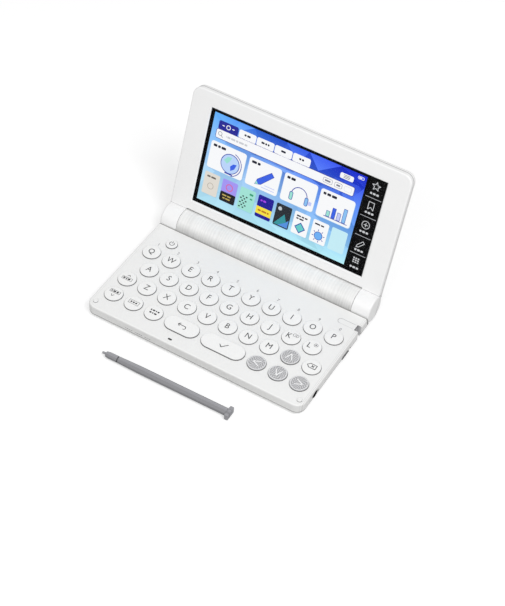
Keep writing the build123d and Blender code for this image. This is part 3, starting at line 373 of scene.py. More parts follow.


class Art:
    """Flat shapes on one surface, gathered into one mesh.

    Each shape has a tint, or else the art's ink, and a level, its place in the stack."""

    def __init__(self, ink=INK):
        self.points, self.faces, self.tints, self.ink = [], [], [], ink

    def shaded(self, outline, tints, level=0):
        """Shape with a tint at each corner."""
        start = len(self.points)
        self.points += [(x, y, level) for x, y in outline]
        self.faces.append(list(range(start, len(self.points))))
        self.tints += [linear(*tint) for tint in tints]

    def shape(self, outline, tint=None, level=0):
        self.shaded(outline, [tint or self.ink] * len(outline), level)

    def box(self, x0, x1, y0, y1, r=0.0, **how):
        r = min(r, (x1 - x0) / 2, (y1 - y0) / 2)
        if r <= 0:
            return self.shape([(x0, y0), (x1, y0), (x1, y1), (x0, y1)], **how)
        corners = ((x1 - r, y1 - r), (x0 + r, y1 - r), (x0 + r, y0 + r), (x1 - r, y0 + r))
        outline = []
        for quarter, (cx, cy) in enumerate(corners):
            for step in range(5):
                a = math.radians(90 * quarter + step * 22.5)
                outline.append((cx + r * math.cos(a), cy + r * math.sin(a)))
        self.shape(outline, **how)

    def framed_box(self, x0, x1, y0, y1, r, width, tint, fill, level):
        """Rounded box with an outline."""
        self.box(x0, x1, y0, y1, r, tint=tint, level=level)
        self.box(x0 + width, x1 - width, y0 + width, y1 - width, max(r - width, 0.01), tint=fill,
                 level=level + 1)

    def disc(self, cx, cy, r, **how):
        angles = [2 * math.pi * i / 24 for i in range(24)]
        self.shape([(cx + r * math.cos(a), cy + r * math.sin(a)) for a in angles], **how)

    def stroke(self, path, width, closed=False, **how):
        """Line of even width along a path, in short pieces that follow a crowned surface."""
        path = [Vector(p) for p in path]
        if closed:
            path.append(path[0])
        for a, b in zip(path, path[1:]):
            along = (b - a).normalized() * width / 2
            side = Vector((-along.y, along.x))
            a, b = a - along * 0.6, b + along * 0.6
            count = max(1, int((b - a).length / 1.5))
            for i in range(count):
                p, q = a.lerp(b, i / count), a.lerp(b, (i + 1) / count)
                self.shape([p + side, p - side, q - side, q + side], **how)

    def ring(self, cx, cy, r, width, start=0, end=360, steps=28, **how):
        """Ring, or an arc from one angle to another."""
        count = max(3, int(steps * (end - start) / 360))
        angles = [math.radians(start + (end - start) * i / count) for i in range(count + 1)]
        for a, b in zip(angles, angles[1:]):
            self.shape([(cx + (r + s * width / 2) * math.cos(t),
                         cy + (r + s * width / 2) * math.sin(t))
                        for s, t in ((1, a), (1, b), (-1, b), (-1, a))], **how)

    def shade_skirt(self, outline, high, low, rim=None):
        """Upright band of painted shade round an outline, on the side of a key: darker towards its
        gap.

        A band's edge is (distance inside the outline, height over the rim's foot, tint). With a
        rim colour the bands begin on the soft rim above, where only the near side gets painted
        shade."""
        bands = [(0.0, 0.0, high), (0.0, -0.3, mix(high, low, 0.6)), (0.0, -0.8, low)]
        if rim:
            bands = [(0.202, 0.317, rim), (0.082, 0.225, mix(rim, high, 0.7)),
                     (0.012, 0.09, high)] + bands
        count = len(outline)

        def corner(i, inset, z, tint):
            x, y, nx, ny = outline[i % count]
            self.points.append((x - nx * inset, y - ny * inset, z + SHADE_SKIRT_LEVEL))
            near = 1.0
            if z > -0.2:
                near = (nx * NEAR_SIDE[0] + ny * NEAR_SIDE[1] + 0.35) / 0.7
            return linear(*mix(LIT_SIDE, tint, max(0.0, min(1.0, near))))

        for above, below in zip(bands, bands[1:]):
            for i in range(count):
                start = len(self.points)
                self.tints += [corner(i, *above), corner(i, *below), corner(i + 1, *below),
                               corner(i + 1, *above)]
                self.faces.append(list(range(start, start + 4)))

    def dashes(self, x, y, lengths, height, gap=DASH_GAP, **how):
        """Row of short bars, in the place of words."""
        for length in lengths:
            self.box(x, x + length, y - height / 2, y + height / 2, height * 0.3, **how)
            x += length + gap

    def glyph(self, text, x, y, height):
        """Letter or digit, centred."""
        curve = bpy.data.curves.new("glyph", "FONT")
        curve.body = text
        curve.resolution_u = 3
        curve.align_x = "CENTER"
        holder = bpy.data.objects.new("glyph", curve)
        mesh = bpy.data.meshes.new_from_object(holder)
        scale = height / CAP_HEIGHT
        low = min(v.co.x for v in mesh.vertices)
        high = max(v.co.x for v in mesh.vertices)
        wide = scale * GLYPH_WIDTH
        for face in mesh.polygons:
            corners = [mesh.vertices[i].co for i in face.vertices]
            self.shape([(x + (c.x - (low + high) / 2) * wide, y + (c.y - CAP_HEIGHT / 2) * scale)
                        for c in corners])
        bpy.data.objects.remove(holder)
        bpy.data.curves.remove(curve)
        bpy.data.meshes.remove(mesh)

    def build(self, name, put, body, slot, material=paint):
        """Piece of all the shapes, put() giving the place of (x, y, level)."""
        points = [put(*p) for p in self.points]
        mesh = tinted_mesh(name, points, self.faces, self.tints, "CORNER")
        return finish_piece(name, mesh, material, body)


# ------------------------------------------------------------------ picture on the display
PICTURE_N = -2.37           # just above the display module, inside the glass
LEVEL_STEP = 0.06
LEFT, RIGHT, FOOT, TOP = -58.3, 47.2, 18.5, 79.5
NAVY = (38, 40, 150)
LINE = (36, 56, 168)
BLUE = (60, 100, 232)
SKY = (140, 196, 246)
MINT = (158, 228, 214)
LILAC = (198, 206, 250)
PAPER = (252, 253, 255)
GREY = (150, 152, 160)
BUTTON_GREY = (120, 122, 140)
DARK = (30, 32, 50)


def sky_tint(u, w, shift):
    """Backdrop: pale below, sky blue at the upper left, deep blue at the upper right."""
    s = (u - LEFT) / (RIGHT - LEFT)
    t = (w - FOOT) / (TOP - FOOT)
    high = mix((80, 162, 246), (18, 38, 210), s ** 0.8)
    mid = mix((168, 206, 248), (84, 142, 240), s ** 1.5)
    low = mix((180, 230, 248), (178, 236, 246), s)
    tint = mix(low, mid, t / 0.5) if t < 0.5 else mix(mid, high, (t - 0.5) / 0.5)
    return tuple(max(0, min(255, v + shift)) for v in tint)


def backdrop(art):
    """Large facets whose shades differ a little."""
    rng = random.Random(7)
    columns, rows = 7, 4
    grid = []
    for j in range(rows + 1):
        for i in range(columns + 1):
            inner_u = 0 < i < columns
            inner_w = 0 < j < rows
            u = i + (rng.uniform(-0.4, 0.4) if inner_u else 0)
            w = j + (rng.uniform(-0.35, 0.35) if inner_w else 0)
            grid.append((LEFT + (RIGHT - LEFT) * u / columns, FOOT + (TOP - FOOT) * w / rows))
    for number, (a, b, c, d) in enumerate(grid_faces(rows, columns)):
        row = number // columns
        for corners in ((a, b, c), (a, c, d)) if rng.random() < 0.5 else ((a, b, d), (b, c, d)):
            shift = rng.uniform(-1, 1) * (8 + 20 * row / rows)
            art.shaded([grid[k] for k in corners], [sky_tint(*grid[k], shift) for k in corners])


def facets(art):
    """Big panes of light across the backdrop, each with its shift in brightness."""
    panes = (((LEFT, TOP), (-41, TOP), (-44.5, 71.5), 22),
             ((-41, TOP), (-30, TOP), (-44.5, 71.5), 30),
             ((-44.5, 71.5), (-30, TOP), (-24, 70), -8), ((-8, TOP), (8, TOP), (2, 70.2), 16),
             ((8, TOP), (30, TOP), (16, 70.4), 30), ((16, 70.4), (30, TOP), (RIGHT, 72), -20),
             ((30, TOP), (RIGHT, TOP), (RIGHT, 72), -4), ((42, 64), (RIGHT, 72), (RIGHT, 50), 26),
             ((LEFT, 64), (-40, 61), (LEFT, 52), 14), ((-20, 62), (10, 62.6), (-4, 60), 26),
             ((LEFT, 44), (LEFT, 30), (-50, 41), 12), ((20, 42), (RIGHT, 46), (RIGHT, 30), -10),
             ((-10, 24), (30, 20), (8, FOOT), 10), ((30, 24), (RIGHT, 30), (RIGHT, FOOT), 12))
    for *corners, shift in panes:
        art.shaded(corners, [sky_tint(*corner, shift) for corner in corners], level=0.5)


def search_panel(art):
    """Tabs, search field and the small buttons at the top."""
    tab_foot, tab_wide, tab_pitch = 69.6, 12.1, 12.6
    art.box(-54.2, -40.4, tab_foot, 75.6, 1.2, tint=NAVY, level=1)
    art.ring(-47.3, 72.8, 1.3, 0.5, tint=PAPER, level=2)
    for u in (-51.6, -44.6):
        art.dashes(u, 72.8, (1.6,), 0.6, tint=PAPER, level=2)
    for count, lengths in enumerate(((1.4, 2.4), (2.2, 1.2, 1.2), (3.2,), (1.4, 1.4))):
        u = -39.8 + count * tab_pitch
        art.box(u, u + tab_wide, tab_foot, 75.2, 1.2, tint=PAPER, level=1)
        start = u + tab_wide / 2 - (sum(lengths) + DASH_GAP * (len(lengths) - 1)) / 2
        art.dashes(start, 72.7, lengths, 1.3, tint=DARK, level=2)
    art.framed_box(-55, 41.6, 63.4, 69.9, 1.4, 0.36, NAVY, PAPER, 1)
    art.ring(-51.9, 67.0, 1.25, 0.42, tint=GREY, level=3)
    art.stroke([(-51.0, 66.1), (-49.9, 65.0)], 0.5, tint=GREY, level=3)
    art.dashes(-47.6, 66.6, (0.4, 2.2, 3.0, 1.6, 3.4, 2.0), 1.3, tint=(206, 208, 214), level=3)
    for u, wide in ((20.4, 6.4), (28.2, 5.2)):
        art.framed_box(u, u + wide, 65.0, 68.4, 0.9, 0.26, BUTTON_GREY, PAPER, 3)
        art.dashes(u + 1.3, 66.7, (wide - 2.6,), 1.1, tint=BUTTON_GREY, level=5)
    art.framed_box(34.8, 39.8, 65.0, 68.4, 0.9, 0.22, (214, 216, 224), PAPER, 3)
    art.framed_box(30.2, 39.2, 72.2, 75.8, 0.9, 0.01, PAPER, PAPER, 1)
    for count in range(3):
        art.box(32.6, 36.8, 73.0 + count * 0.9, 73.35 + count * 0.9, tint=DARK, level=3)
    art.framed_box(41.4, 45.6, 76.2, 78.2, 0.7, 0.3, PAPER, (70, 90, 245), 1)
    art.box(42.2, 44.2, 76.8, 77.6, 0.2, tint=PAPER, level=3)


def tiles(art):
    """Four white tiles with simple line pictures."""
    spans = ((-56.4, -31.2), (-28.9, -6.3), (-4.0, 18.8), (21.1, 44.4))
    labels = ((2.6, 1.8, 3.2), (3.4, 2.0), (2.2, 3.0), (2.0, 2.6, 3.4))
    for (u0, u1), label in zip(spans, labels):
        art.box(u0 + 0.3, u1 + 0.3, 42.0, 60.6, 1.6, tint=(150, 196, 236), level=1)
        art.box(u0, u1, 42.4, 61.0, 1.6, tint=PAPER, level=2)
        art.dashes(u0 + 1.8, 58.4, label, 1.7, gap=0.6, tint=DARK, level=3)

    # a globe on its stand
    cx, cy = -41.0, 50.2
    art.disc(cx, cy, 6.7, tint=LINE, level=3)
    art.disc(cx, cy, 6.2, tint=(190, 216, 254), level=4)
    for land, tint in ((((-4.6, 1.2), (-2.4, 4.2), (0.6, 4.6), (-0.4, 1.8), (-2.2, -0.6)), MINT),
                       (((1.2, -4.2), (3.6, -2.2), (4.6, 1.2), (2.2, 0.8), (0.4, -1.4)), BLUE)):
        art.shape([(cx + u, cy + w) for u, w in land], tint=tint, level=5)
    art.ring(cx, cy, 7.9, 0.5, start=-75, end=75, tint=LINE, level=3)
    art.box(cx - 2.6, cx + 3.0, cy - 7.2, cy - 6.4, 0.3, tint=LINE, level=3)

    # a pencil over two lines
    for level, inside, tint in ((3, 0.0, LINE), (4, 0.42, BLUE)):
        art.shape([(-22.4 + inside, 44.6 + inside), (-18.2, 45.6 + inside),
                   (-10.2 - inside, 54.0), (-12.6, 56.4 - inside), (-21.2 + inside, 48.6)],
                  tint=tint, level=level)
    art.shape([(-22.0, 45.0), (-19.8, 45.5), (-21.4, 47.4)], tint=MINT, level=5)
    for start, w in ((-17.4, 44.4), (-15.4, 46.2)):
        art.stroke([(start, w), (-8.6, w)], 0.5, tint=LILAC, level=3)

    # headphones
    art.ring(8.2, 49.4, 5.4, 0.55, start=0, end=180, tint=LINE, level=3)
    for u, tint in ((1.6, MINT), (12.2, SKY)):
        art.framed_box(u, u + 2.6, 44.6, 50.4, 1.1, 0.4, LINE, tint, 3)
    art.box(14.9, 17.2, 46.0, 48.6, 0.5, tint=LILAC, level=3)

    # a chart
    for count, (high, tint) in enumerate(((4.0, MINT), (7.2, BLUE), (5.4, LILAC), (9.6, SKY))):
        u = 27.6 + count * 3.6
        art.framed_box(u, u + 2.6, 44.4, 44.4 + high, 0.3, 0.3, LINE, tint, 3)
    art.stroke([(26.6, 44.2), (42.4, 44.2)], 0.45, tint=LINE, level=5)


def cards(art):
    """Row of small cards below the tiles, the last one faint."""
    wide, pitch, low, high = 10.8, 12.9, 24.2, 39.4
    half = wide / 2
    starts = [-56.2 + pitch * i for i in range(8)]
    fills = ((228, 223, 214), (166, 152, 246), (164, 230, 216), (30, 22, 150), (38, 44, 50),
             PAPER, PAPER)
    for u, tint in zip(starts, fills):
        art.box(u + 0.25, u + wide + 0.25, low - 0.3, high - 0.3, 0.9, tint=(150, 206, 232),
                level=1)
        art.box(u, u + wide, low, high, 0.9, tint=tint, level=2)
    plain, two_part, dotted, banded, hills, diamond, sun, faint = starts
    art.dashes(plain + 1.8, 36.6, (2.4, 3.4), 1.2, tint=(110, 104, 98), level=3)
    art.ring(plain + half, 30.4, 2.0, 0.35, tint=(176, 168, 156), level=3)

    gold = (196, 172, 92)
    art.box(two_part, two_part + wide, low, low + 6.6, 0.9, tint=(30, 28, 32), level=3)
    art.dashes(two_part + 1.6, low + 4.4, (3.0, 2.6), 0.9, tint=gold, level=4)
    art.dashes(two_part + 2.2, low + 2.4, (1.6, 3.2), 0.9, tint=gold, level=4)
    art.ring(two_part + half, 34.6, 2.2, 0.7, tint=(216, 110, 170), level=3)

    for row in range(6):
        u = dotted + 0.9 + (row % 2) * 1.3
        art.dashes(u, 26.0 + row * 1.5, (1.2, 1.2), 0.9, gap=1.3, tint=(30, 40, 44), level=3)
    art.dashes(dotted + 6.8, 36.4, (2.6,), 1.4, tint=(60, 160, 120), level=3)
    art.dashes(dotted + 7.6, 33.4, (1.8,), 1.0, tint=(60, 160, 120), level=3)

    art.box(banded, banded + wide, 26.6, 31.6, tint=(250, 228, 66), level=3)
    art.dashes(banded + 1.4, 29.1, (2.2, 3.4, 1.2), 1.2, tint=(190, 120, 30), level=4)
    art.dashes(banded + 1.8, 36.0, (1.4, 2.0), 1.2, tint=(170, 70, 240), level=3)

    art.shape([(hills + 0.6, 25.0), (hills + 10.2, 25.0), (hills + 6.6, 33.6),
               (hills + 4.4, 30.4)], tint=(54, 150, 158), level=3)
    art.shape([(hills + 3.4, 25.0), (hills + 10.2, 25.0), (hills + 10.2, 30.6),
               (hills + 8.2, 28.2)], tint=(84, 146, 226), level=4)
    art.disc(hills + 2.8, 36.2, 1.3, tint=(196, 206, 212), level=3)

    cx, cy = diamond + half, 29.2
    for level, reach, tint in ((3, 3.8, LINE), (4, 3.0, (104, 206, 202))):
        art.shape([(cx, cy - reach), (cx + reach, cy), (cx, cy + reach), (cx - reach, cy)],
                  tint=tint, level=level)
    art.dashes(diamond + 1.6, 36.8, (2.8, 1.8, 1.8), 1.0, tint=DARK, level=3)
    art.dashes(diamond + 1.6, 35.0, (1.6, 3.0), 1.0, tint=DARK, level=3)

    cx, cy = sun + half, 29.4
    art.dashes(sun + 1.4, 36.8, (3.6, 2.2), 1.0, tint=DARK, level=3)
    art.disc(cx, cy, 2.9, tint=LINE, level=3)
    art.disc(cx, cy, 2.5, tint=(112, 178, 248), level=4)
    for turn in range(8):
        a = math.radians(turn * 45 + 10)
        art.stroke([(cx + r * math.cos(a), cy + r * math.sin(a)) for r in (3.4, 4.2)], 0.5,
                   tint=LINE, level=3)
    art.box(faint, RIGHT - 2.4, low, high, 0.9, tint=(200, 240, 250), level=1)


def soft_keys(art):
    """Black strip with five symbols, dashes for their labels and the dividers between them."""
    look = dict(tint=(205, 207, 210), level=1)
    u = 54.0
    for w in (68.0, 55.0, 41.6, 29.0):
        art.box(48.8, 59.4, w - 0.18, w + 0.18, tint=(178, 180, 184), level=1)
    for w in (69.8, 56.8, 43.6, 30.6, 18.6):
        art.dashes(u - 2.9, w + 1.1, (1.4, 1.8, 1.6), 1.3, **look)
    star = []
    for i in range(10):
        r, a = 1.25 if i % 2 else 2.8, math.pi / 2 + math.pi * i / 5
        star.append((u + r * math.cos(a), 76.0 + r * math.sin(a)))
    bookmark = [(52.2, 65.2), (55.8, 65.2), (55.8, 60.2), (u, 61.8), (52.2, 60.2)]
    pen = [(52.1, 35.0), (55.3, 38.4), (56.5, 37.2), (53.2, 33.8), (51.7, 33.4)]
    art.stroke(star, 0.42, closed=True, **look)
    art.stroke(bookmark, 0.42, closed=True, **look)
    art.ring(u, 49.6, 2.5, 0.42, **look)
    art.stroke([(u - 1.2, 49.6), (u + 1.2, 49.6)], 0.45, **look)
    art.stroke([(u, 48.4), (u, 50.8)], 0.45, **look)
    art.stroke(pen, 0.42, closed=True, **look)
    for i in range(3):
        for j in range(3):
            art.box(52.0 + i * 1.5, 53.0 + i * 1.5, 22.8 + j * 1.4, 23.7 + j * 1.4, **look)


picture = Art()
for draw in (backdrop, facets, search_panel, tiles, cards, soft_keys):
    draw(picture)
picture.build("screen_picture", lambda u, w, level: on_lid(u, w, PICTURE_N + LEVEL_STEP * level),
              "lid", "display", picture_light)


# ------------------------------------------------------------------ legends on the keys
LETTER_H = 4.1
LETTER_LIFT = 0.5           # letters stand a little behind the middle of their key
LETTER_SHIFT = {"k": -1.6, "l": -2.0}       # these two make room for a mark
PROUD = 0.04                # height of the print over the cap
PROUD_OF_FIGURE = 0.10      # and over the cap of an arrow key, which has a relief
SIDE_GAP = 0.018            # a painted shade band's distance from the key's side


def key_surface(cx, cy, domed=True, proud=PROUD):
    """Place of a legend on a key, following the slight crown of a round cap, or of the painted
    shade round the key's side.
    """
    foot = (KEY_RIM_Z if domed else KEY_RIM_Z + KEY_CROWN) - KEY_RIM_R

    def put(x, y, level):
        if level < SHADE_SKIRT_LEVEL / 2:
            return Vector((cx + x, cy + y, foot + level - SHADE_SKIRT_LEVEL)) * MM
        crown = max(0.0, 1 - (x * x + y * y) / KEY_FLAT_R ** 2) if domed else 1.0
        return Vector((cx + x, cy + y, KEY_RIM_Z + KEY_CROWN * crown + proud + 0.01 * level)) * MM
    return put


def round_side(half_length, r, cx=0.0, cy=0.0):
    """Outline of a key, a little outside its side wall, with its outward directions."""
    steps = 30
    outline = []
    for side in (1, -1):
        # a round key has its two joining points once, a long key twice
        for i in range(steps + 1 if half_length else steps):
            a = math.pi * (i / steps - side / 2)
            outline.append((cx + side * half_length + (r + SIDE_GAP) * math.cos(a),
                            cy + (r + SIDE_GAP) * math.sin(a), math.cos(a), math.sin(a)))
    return outline


def legend(node, art):
    """Builds a key's print together with the painted shade round its side."""
    length = LONG_KEYS.get(node)
    r = POWER_KEY_R if node == "key_power" else KEY_R
    outline = round_side(length / 2 - r if length else 0.0, r)
    # painted shade round the key's side, darkest next to the gap, on the rim only on the near side
    art.shade_skirt(outline, (138, 138, 140), (60, 60, 62), rim=(206, 206, 207))
    art.build("legend_" + node, key_surface(*middle(node), domed=not length), node, "key_white")


def ring_mark(art, x, y, wide):
    """Ring with a dot, or a wide ring with a bar."""
    r, width = 1.2, 0.28
    art.ring(x, y, r, width, tint=INK_PALE)
    if wide:
        art.ring(x + r, y, r, width, start=-90, end=90, tint=INK_PALE)
        art.box(x, x + r, y - 0.12, y + 0.12, tint=INK_PALE)
    else:
        art.disc(x, y, 0.5, tint=INK_PALE)


for letter in "qwertyuiopasdfghjklzxcvbnm":
    art = Art()
    art.glyph(letter.upper(), LETTER_SHIFT.get(letter, -0.25), LETTER_LIFT, LETTER_H)
    if letter == "k":
        ring_mark(art, 1.5, 2.4, True)
    if letter == "l":
        ring_mark(art, 1.5, 2.2, False)
    legend("key_" + letter, art)

art = Art()
art.stroke([(-0.9, 2.0), (0.0, 3.2), (0.9, 2.0)], 0.35)
art.stroke([(-3.4, -1.2), (-3.4, 1.0), (3.4, 1.0), (3.4, -1.2)], 0.22, closed=True)
art.dashes(-2.7, -0.1, (1.4, 0.9, 1.6), 1.2)
legend("key_function_1", art)

art = Art()
art.stroke([(-3.4, 0.6), (-3.4, 2.8), (3.4, 2.8), (3.4, 0.6)], 0.22, closed=True)
art.dashes(-2.7, 1.7, (0.9, 1.8, 1.4), 1.2)
art.stroke([(-0.9, -1.0), (0.0, -2.2), (0.9, -1.0)], 0.35)
legend("key_function_2", art)

art = Art()
art.stroke([(-3.4, -1.0), (-3.4, 1.8), (3.4, 1.8), (3.4, -1.0)], 0.22, closed=True)
art.dashes(-2.4, 0.4, (1.2, 1.2, 1.2), 1.1)
legend("key_function_3", art)

art = Art()
art.dashes(-3.0, 1.6, (1.0, 1.6, 0.8, 1.2), 1.1)
art.dashes(-2.6, -0.6, (1.4, 0.8, 1.8), 1.1)
legend("key_function_4", art)

art = Art()                 # an arrow that turns back
art.stroke([(-1.6, 1.9), (-2.8, 0.7), (-1.6, -0.5)], 0.45)
art.stroke([(-2.8, 0.7), (1.6, 0.7)], 0.45)
art.ring(1.6, -0.5, 1.2, 0.45, start=-90, end=90)
legend("key_back", art)

art = Art()                 # a tick
art.stroke([(-2.4, 0.4), (-0.8, -1.2), (2.4, 2.2)], 0.5)
legend("key_enter", art)

art = Art()                 # a crossed-out tag
art.stroke([(-3.0, 0.5), (-1.4, 2.1), (2.8, 2.1), (2.8, -1.1), (-1.4, -1.1)], 0.42, closed=True)
art.stroke([(-0.2, 1.3), (1.4, -0.3)], 0.42)
art.stroke([(-0.2, -0.3), (1.4, 1.3)], 0.42)
legend("key_delete", art)

art = Art()                 # the sign for power
art.ring(0, 0.3, 1.55, 0.38, start=-235, end=55)
art.box(-0.19, 0.19, 0.5, 2.4)
legend("key_power", art)


# ------------------------------------------------------------------ marks on the shells
DIGIT_BEHIND = 8.4          # from the middle of a key to its digit on the deck


def flat(z):
    return lambda x, y, level: Vector((x, y, z)) * MM


def on_deck(x, y, level):
    """Print and painted shade on the deck; the painted shade bands there stand round the lid
    stops, which are lower than keys.
    """
    z = DECK_Z + 0.015
    if level < SHADE_SKIRT_LEVEL / 2:
        z = DECK_Z + 0.25 + (level - SHADE_SKIRT_LEVEL) * 0.45
    return Vector((x, y, z)) * MM


deck_print_and_shade = Art(INK_PALE)
for letter, digit in zip("qwertyuiop", "1234567890"):
    cx, cy = middle("key_" + letter)
    deck_print_and_shade.glyph(digit, cx, cy + DIGIT_BEHIND, 2.2)
stop_x, stop_y, stop_r = LID_STOP
# painted shade round each lid stop, and a painted shadow on the deck in front of it
for cx in (-stop_x, stop_x):
    deck_print_and_shade.shade_skirt(round_side(0, stop_r, cx, stop_y), (170, 170, 172), (120, 120, 122))
    deck_print_and_shade.ring(cx, stop_y, 1.6, 0.5, start=-130, end=12, steps=14, tint=(166, 166, 168))
# painted shade of the engraved outline beside the stylus port, open towards it: darker on its rear
# side and round end than on its front side
deck_print_and_shade.stroke([(70.8, 22.8), (61.9, 22.8)], 0.3, tint=(176, 176, 178))
deck_print_and_shade.ring(61.9, 20.9, 1.9, 0.3, start=90, end=270, tint=(170, 170, 172))
deck_print_and_shade.stroke([(61.9, 19.0), (70.8, 19.0)], 0.3, tint=(212, 212, 213))
deck_print_and_shade.build("deck_digits_and_shade", on_deck, "base", "case_white")

# a dark patch over the microphone slot: painted shade inside the slot
slot_art = Art((20, 20, 22))
slot_art.box(-18.1, -15.5, -48.7, -47.4, 0.5)
slot_art.build("microphone_slot_shade", flat(DECK_Z + 0.012), "base", "socket_black")


# ------------------------------------------------------------------ arrow keys: figured tops
def turned(x, y, angle):
    return x * math.cos(angle) - y * math.sin(angle), x * math.sin(angle) + y * math.cos(angle)


def figure(x, y):
    """Flowing lines along the pointing direction that part round the chevron, from 0 to 1."""
    bend = x + 0.75 * math.sin(y * 0.95 + 0.4 + 0.3 * x) + 0.2 * math.sin(y * 2.7 + x)
    bend += 0.4 * x * math.exp(-((y + 0.3) ** 2) / 7)
    return 0.5 + 0.5 * math.cos(bend * 2 * math.pi / 1.5 + 0.9 * math.sin(y * 0.9 - 1))


def arrow_top(node, degrees):
    """Figured disc in low relief on the cap, with a chevron, a pale rim and painted shade round
    the key's side.
    """
    cx, cy = middle(node)
    angle = math.radians(degrees)
    count, reach = 72, 4.95         # spaces across the disc, and its radius
    points, tints = [], []
    for j in range(count + 1):
        for i in range(count + 1):
            s, t = 2 * i / count - 1, 2 * j / count - 1
            x = s * math.sqrt(1 - t * t / 2) * reach
            y = t * math.sqrt(1 - s * s / 2) * reach
            ripple = figure(*turned(x, y, -angle))
            edge = min(1.0, (reach - math.hypot(x, y)) / 0.35)
            rise = KEY_CROWN * (1 - (x * x + y * y) / KEY_FLAT_R ** 2)
            z = KEY_RIM_Z + rise + 0.015 + 0.055 * ripple * edge
            points.append(Vector((cx + x, cy + y, z)) * MM)
            tints.append(linear(*mix((146, 146, 148), (216, 216, 217), ripple)))
    mesh = tinted_mesh("figure_" + node, points, grid_faces(count, count), tints, "POINT")
    finish_piece("figure_" + node, mesh, paint, node, smooth=True)

    art = Art((246, 246, 246))
    art.stroke([turned(x, y, angle) for x, y in ((-2.0, -2.1), (0, 2.1), (2.0, -2.1))], 0.62)
    # painted shade round the key's side, darkest next to the gap
    art.shade_skirt(round_side(0, KEY_R), (120, 120, 122), (60, 60, 62), rim=(190, 190, 192))
    art.ring(0, 0, 5.22, 0.42, steps=48, tint=(232, 232, 233))
    art.build("chevron_and_shade_" + node, key_surface(cx, cy, proud=PROUD_OF_FIGURE), node, "key_grey")


for node, degrees in ARROW_KEYS.items():
    arrow_top(node, degrees)


# ------------------------------------------------------------------ barrel: fine turned rings
RING_PITCH = 0.3            # stations along the barrel
RING_TONE = 0.12            # how much darker the darkest ring is
RING_RISE = 0.10            # how far the highest ring stands over the lowest
SKIN_GAP = 0.02             # between the barrel and the foot of the lowest ring
SKIN_SINK = 0.05            # depth of the skin's edges inside the barrel


def ring_table(half):
    """Uneven rings: for stations along the barrel, a height and a tone, both from 0 to 1.
    The tone rises with the height, so the low rings take painted shade, and it also varies
    unevenly.
    """
    rng = random.Random(11)
    count = int(2 * half / RING_PITCH)
    rough = [rng.random() for _ in range(count + 1)]
    heights, tones = [], []
    for i in range(count + 1):
        x = i * RING_PITCH
        slow = 0.5 + 0.5 * math.sin(x * 0.41 + 2.1 * math.sin(x * 0.13))
        wave = 0.5 + 0.5 * math.cos(x * 2 * math.pi / 1.9 + 1.8 * math.sin(x * 0.37)
                                    + 0.9 * math.sin(x * 1.03))
        near = [rough[max(0, min(count, i + k))] for k in (-1, 0, 1)]
        heights.append(0.7 * wave + 0.3 * near[1])
        tones.append(0.42 * wave + 0.30 * (near[0] + 2 * near[1] + near[2]) / 4 + 0.28 * slow)
    return heights, tones


def shade_low(degrees):
    """Painted shade on the skin: its tone falls off towards the deck."""
    t = max(0.0, min(1.0, (degrees - 132) / 46))
    return 1 - 0.30 * t * t * (3 - 2 * t)


def ringed_skin(name, body, start, end, half, steps):
    """Thin ringed skin over the barrel, from one angle to another.

    Angles are in degrees, from the rear over the top to the front."""
    heights, tones = ring_table(half)
    stations = len(heights)
    rng = random.Random(5)
    # now and then a ring's end takes painted shade where it meets the deck
    shade_ticks = [1 - 0.10 * rng.random() if rng.random() < 0.45 else 1.0 for _ in range(stations)]
    white = linear(*WHITE)
    points, tints = [], []
    for i in range(stations):
        x = -half + 2 * half * i / (stations - 1)
        fade = min(1.0, (half - abs(x)) / 0.6)
        for j in range(steps + 1):
            degrees = start + (end - start) * j / steps
            a = math.radians(degrees)
            inner = 0 < j < steps
            r = BARREL_R + (SKIN_GAP + RING_RISE * heights[i] * fade if inner else -SKIN_SINK)
            y, z = HINGE_Y + r * math.cos(a), HINGE_Z + r * math.sin(a)
            points.append(Vector((x, y, z)) * MM)
            # the tone: painted shade in the low rings and towards the deck, with an uneven tone
            # along the barrel
            tone = (1 - RING_TONE + RING_TONE * 1.25 * tones[i]) * shade_low(degrees)
            if degrees > 158:
                tone *= shade_ticks[i]
            tints.append([c * tone for c in white])
    mesh = tinted_mesh(name, points, grid_faces(stations - 1, steps), tints, "POINT")
    mesh.flip_normals()
    finish_piece(name, mesh, turned_white_and_shade, body, smooth=True)


ringed_skin("barrel_rings", "base", -7.5, 192, BARREL_HALF - 0.1, 60)
ringed_skin("cover_rings", "battery_cover", -81.5, -8.5, COVER_HALF, 24)

# painted shade along the creases where the knuckles' arms meet the lid's face
crease_shade = Art()
for side in (-1, 1):
    crease_shade.stroke([(side * 63.1, 9.25), (side * 74.8, 9.25)], 0.3, tint=(196, 196, 198))
crease_shade.build("knuckle_crease_shade", lambda u, w, level: on_lid(u, w, -0.685), "lid", "case_white")

marks = Art((150, 150, 152))
rng = random.Random(21)
for start in (-46.2, -39.4, -32.4):
    marks.dashes(start, 4.7, [rng.uniform(0.5, 1.5) for _ in range(4)], 0.5, gap=0.35)
marks.build("front_marks", lambda x, z, level: Vector((x, FRONT_Y, z)) * MM, "base", "case_white")


# ------------------------------------------------------------------ sockets and stylus port
JACK_Y, JACK_Z = -33.84, 4.2
JACK_RING = ((72.55, 1.86), (74.72, 1.86), (74.85, 2.0), (74.85, 2.35), (74.7, 2.5), (72.55, 2.5))
RECESS_FOOT_Z = 1.53
PORT_FRONT, PORT_REAR, PORT_FOOT, PORT_TOP = 18.5, 23.32, 0.7, 9.0
PORT_INNER_X = 72.1
PORT_DEPTH = 2.2
INNER_WALL, REAR_WALL, FRONT_WALL, RECESS_FOOT = range(4)
UNIT_SQUARE = [(0, 0), (0, 1), (1, 1), (1, 0)]


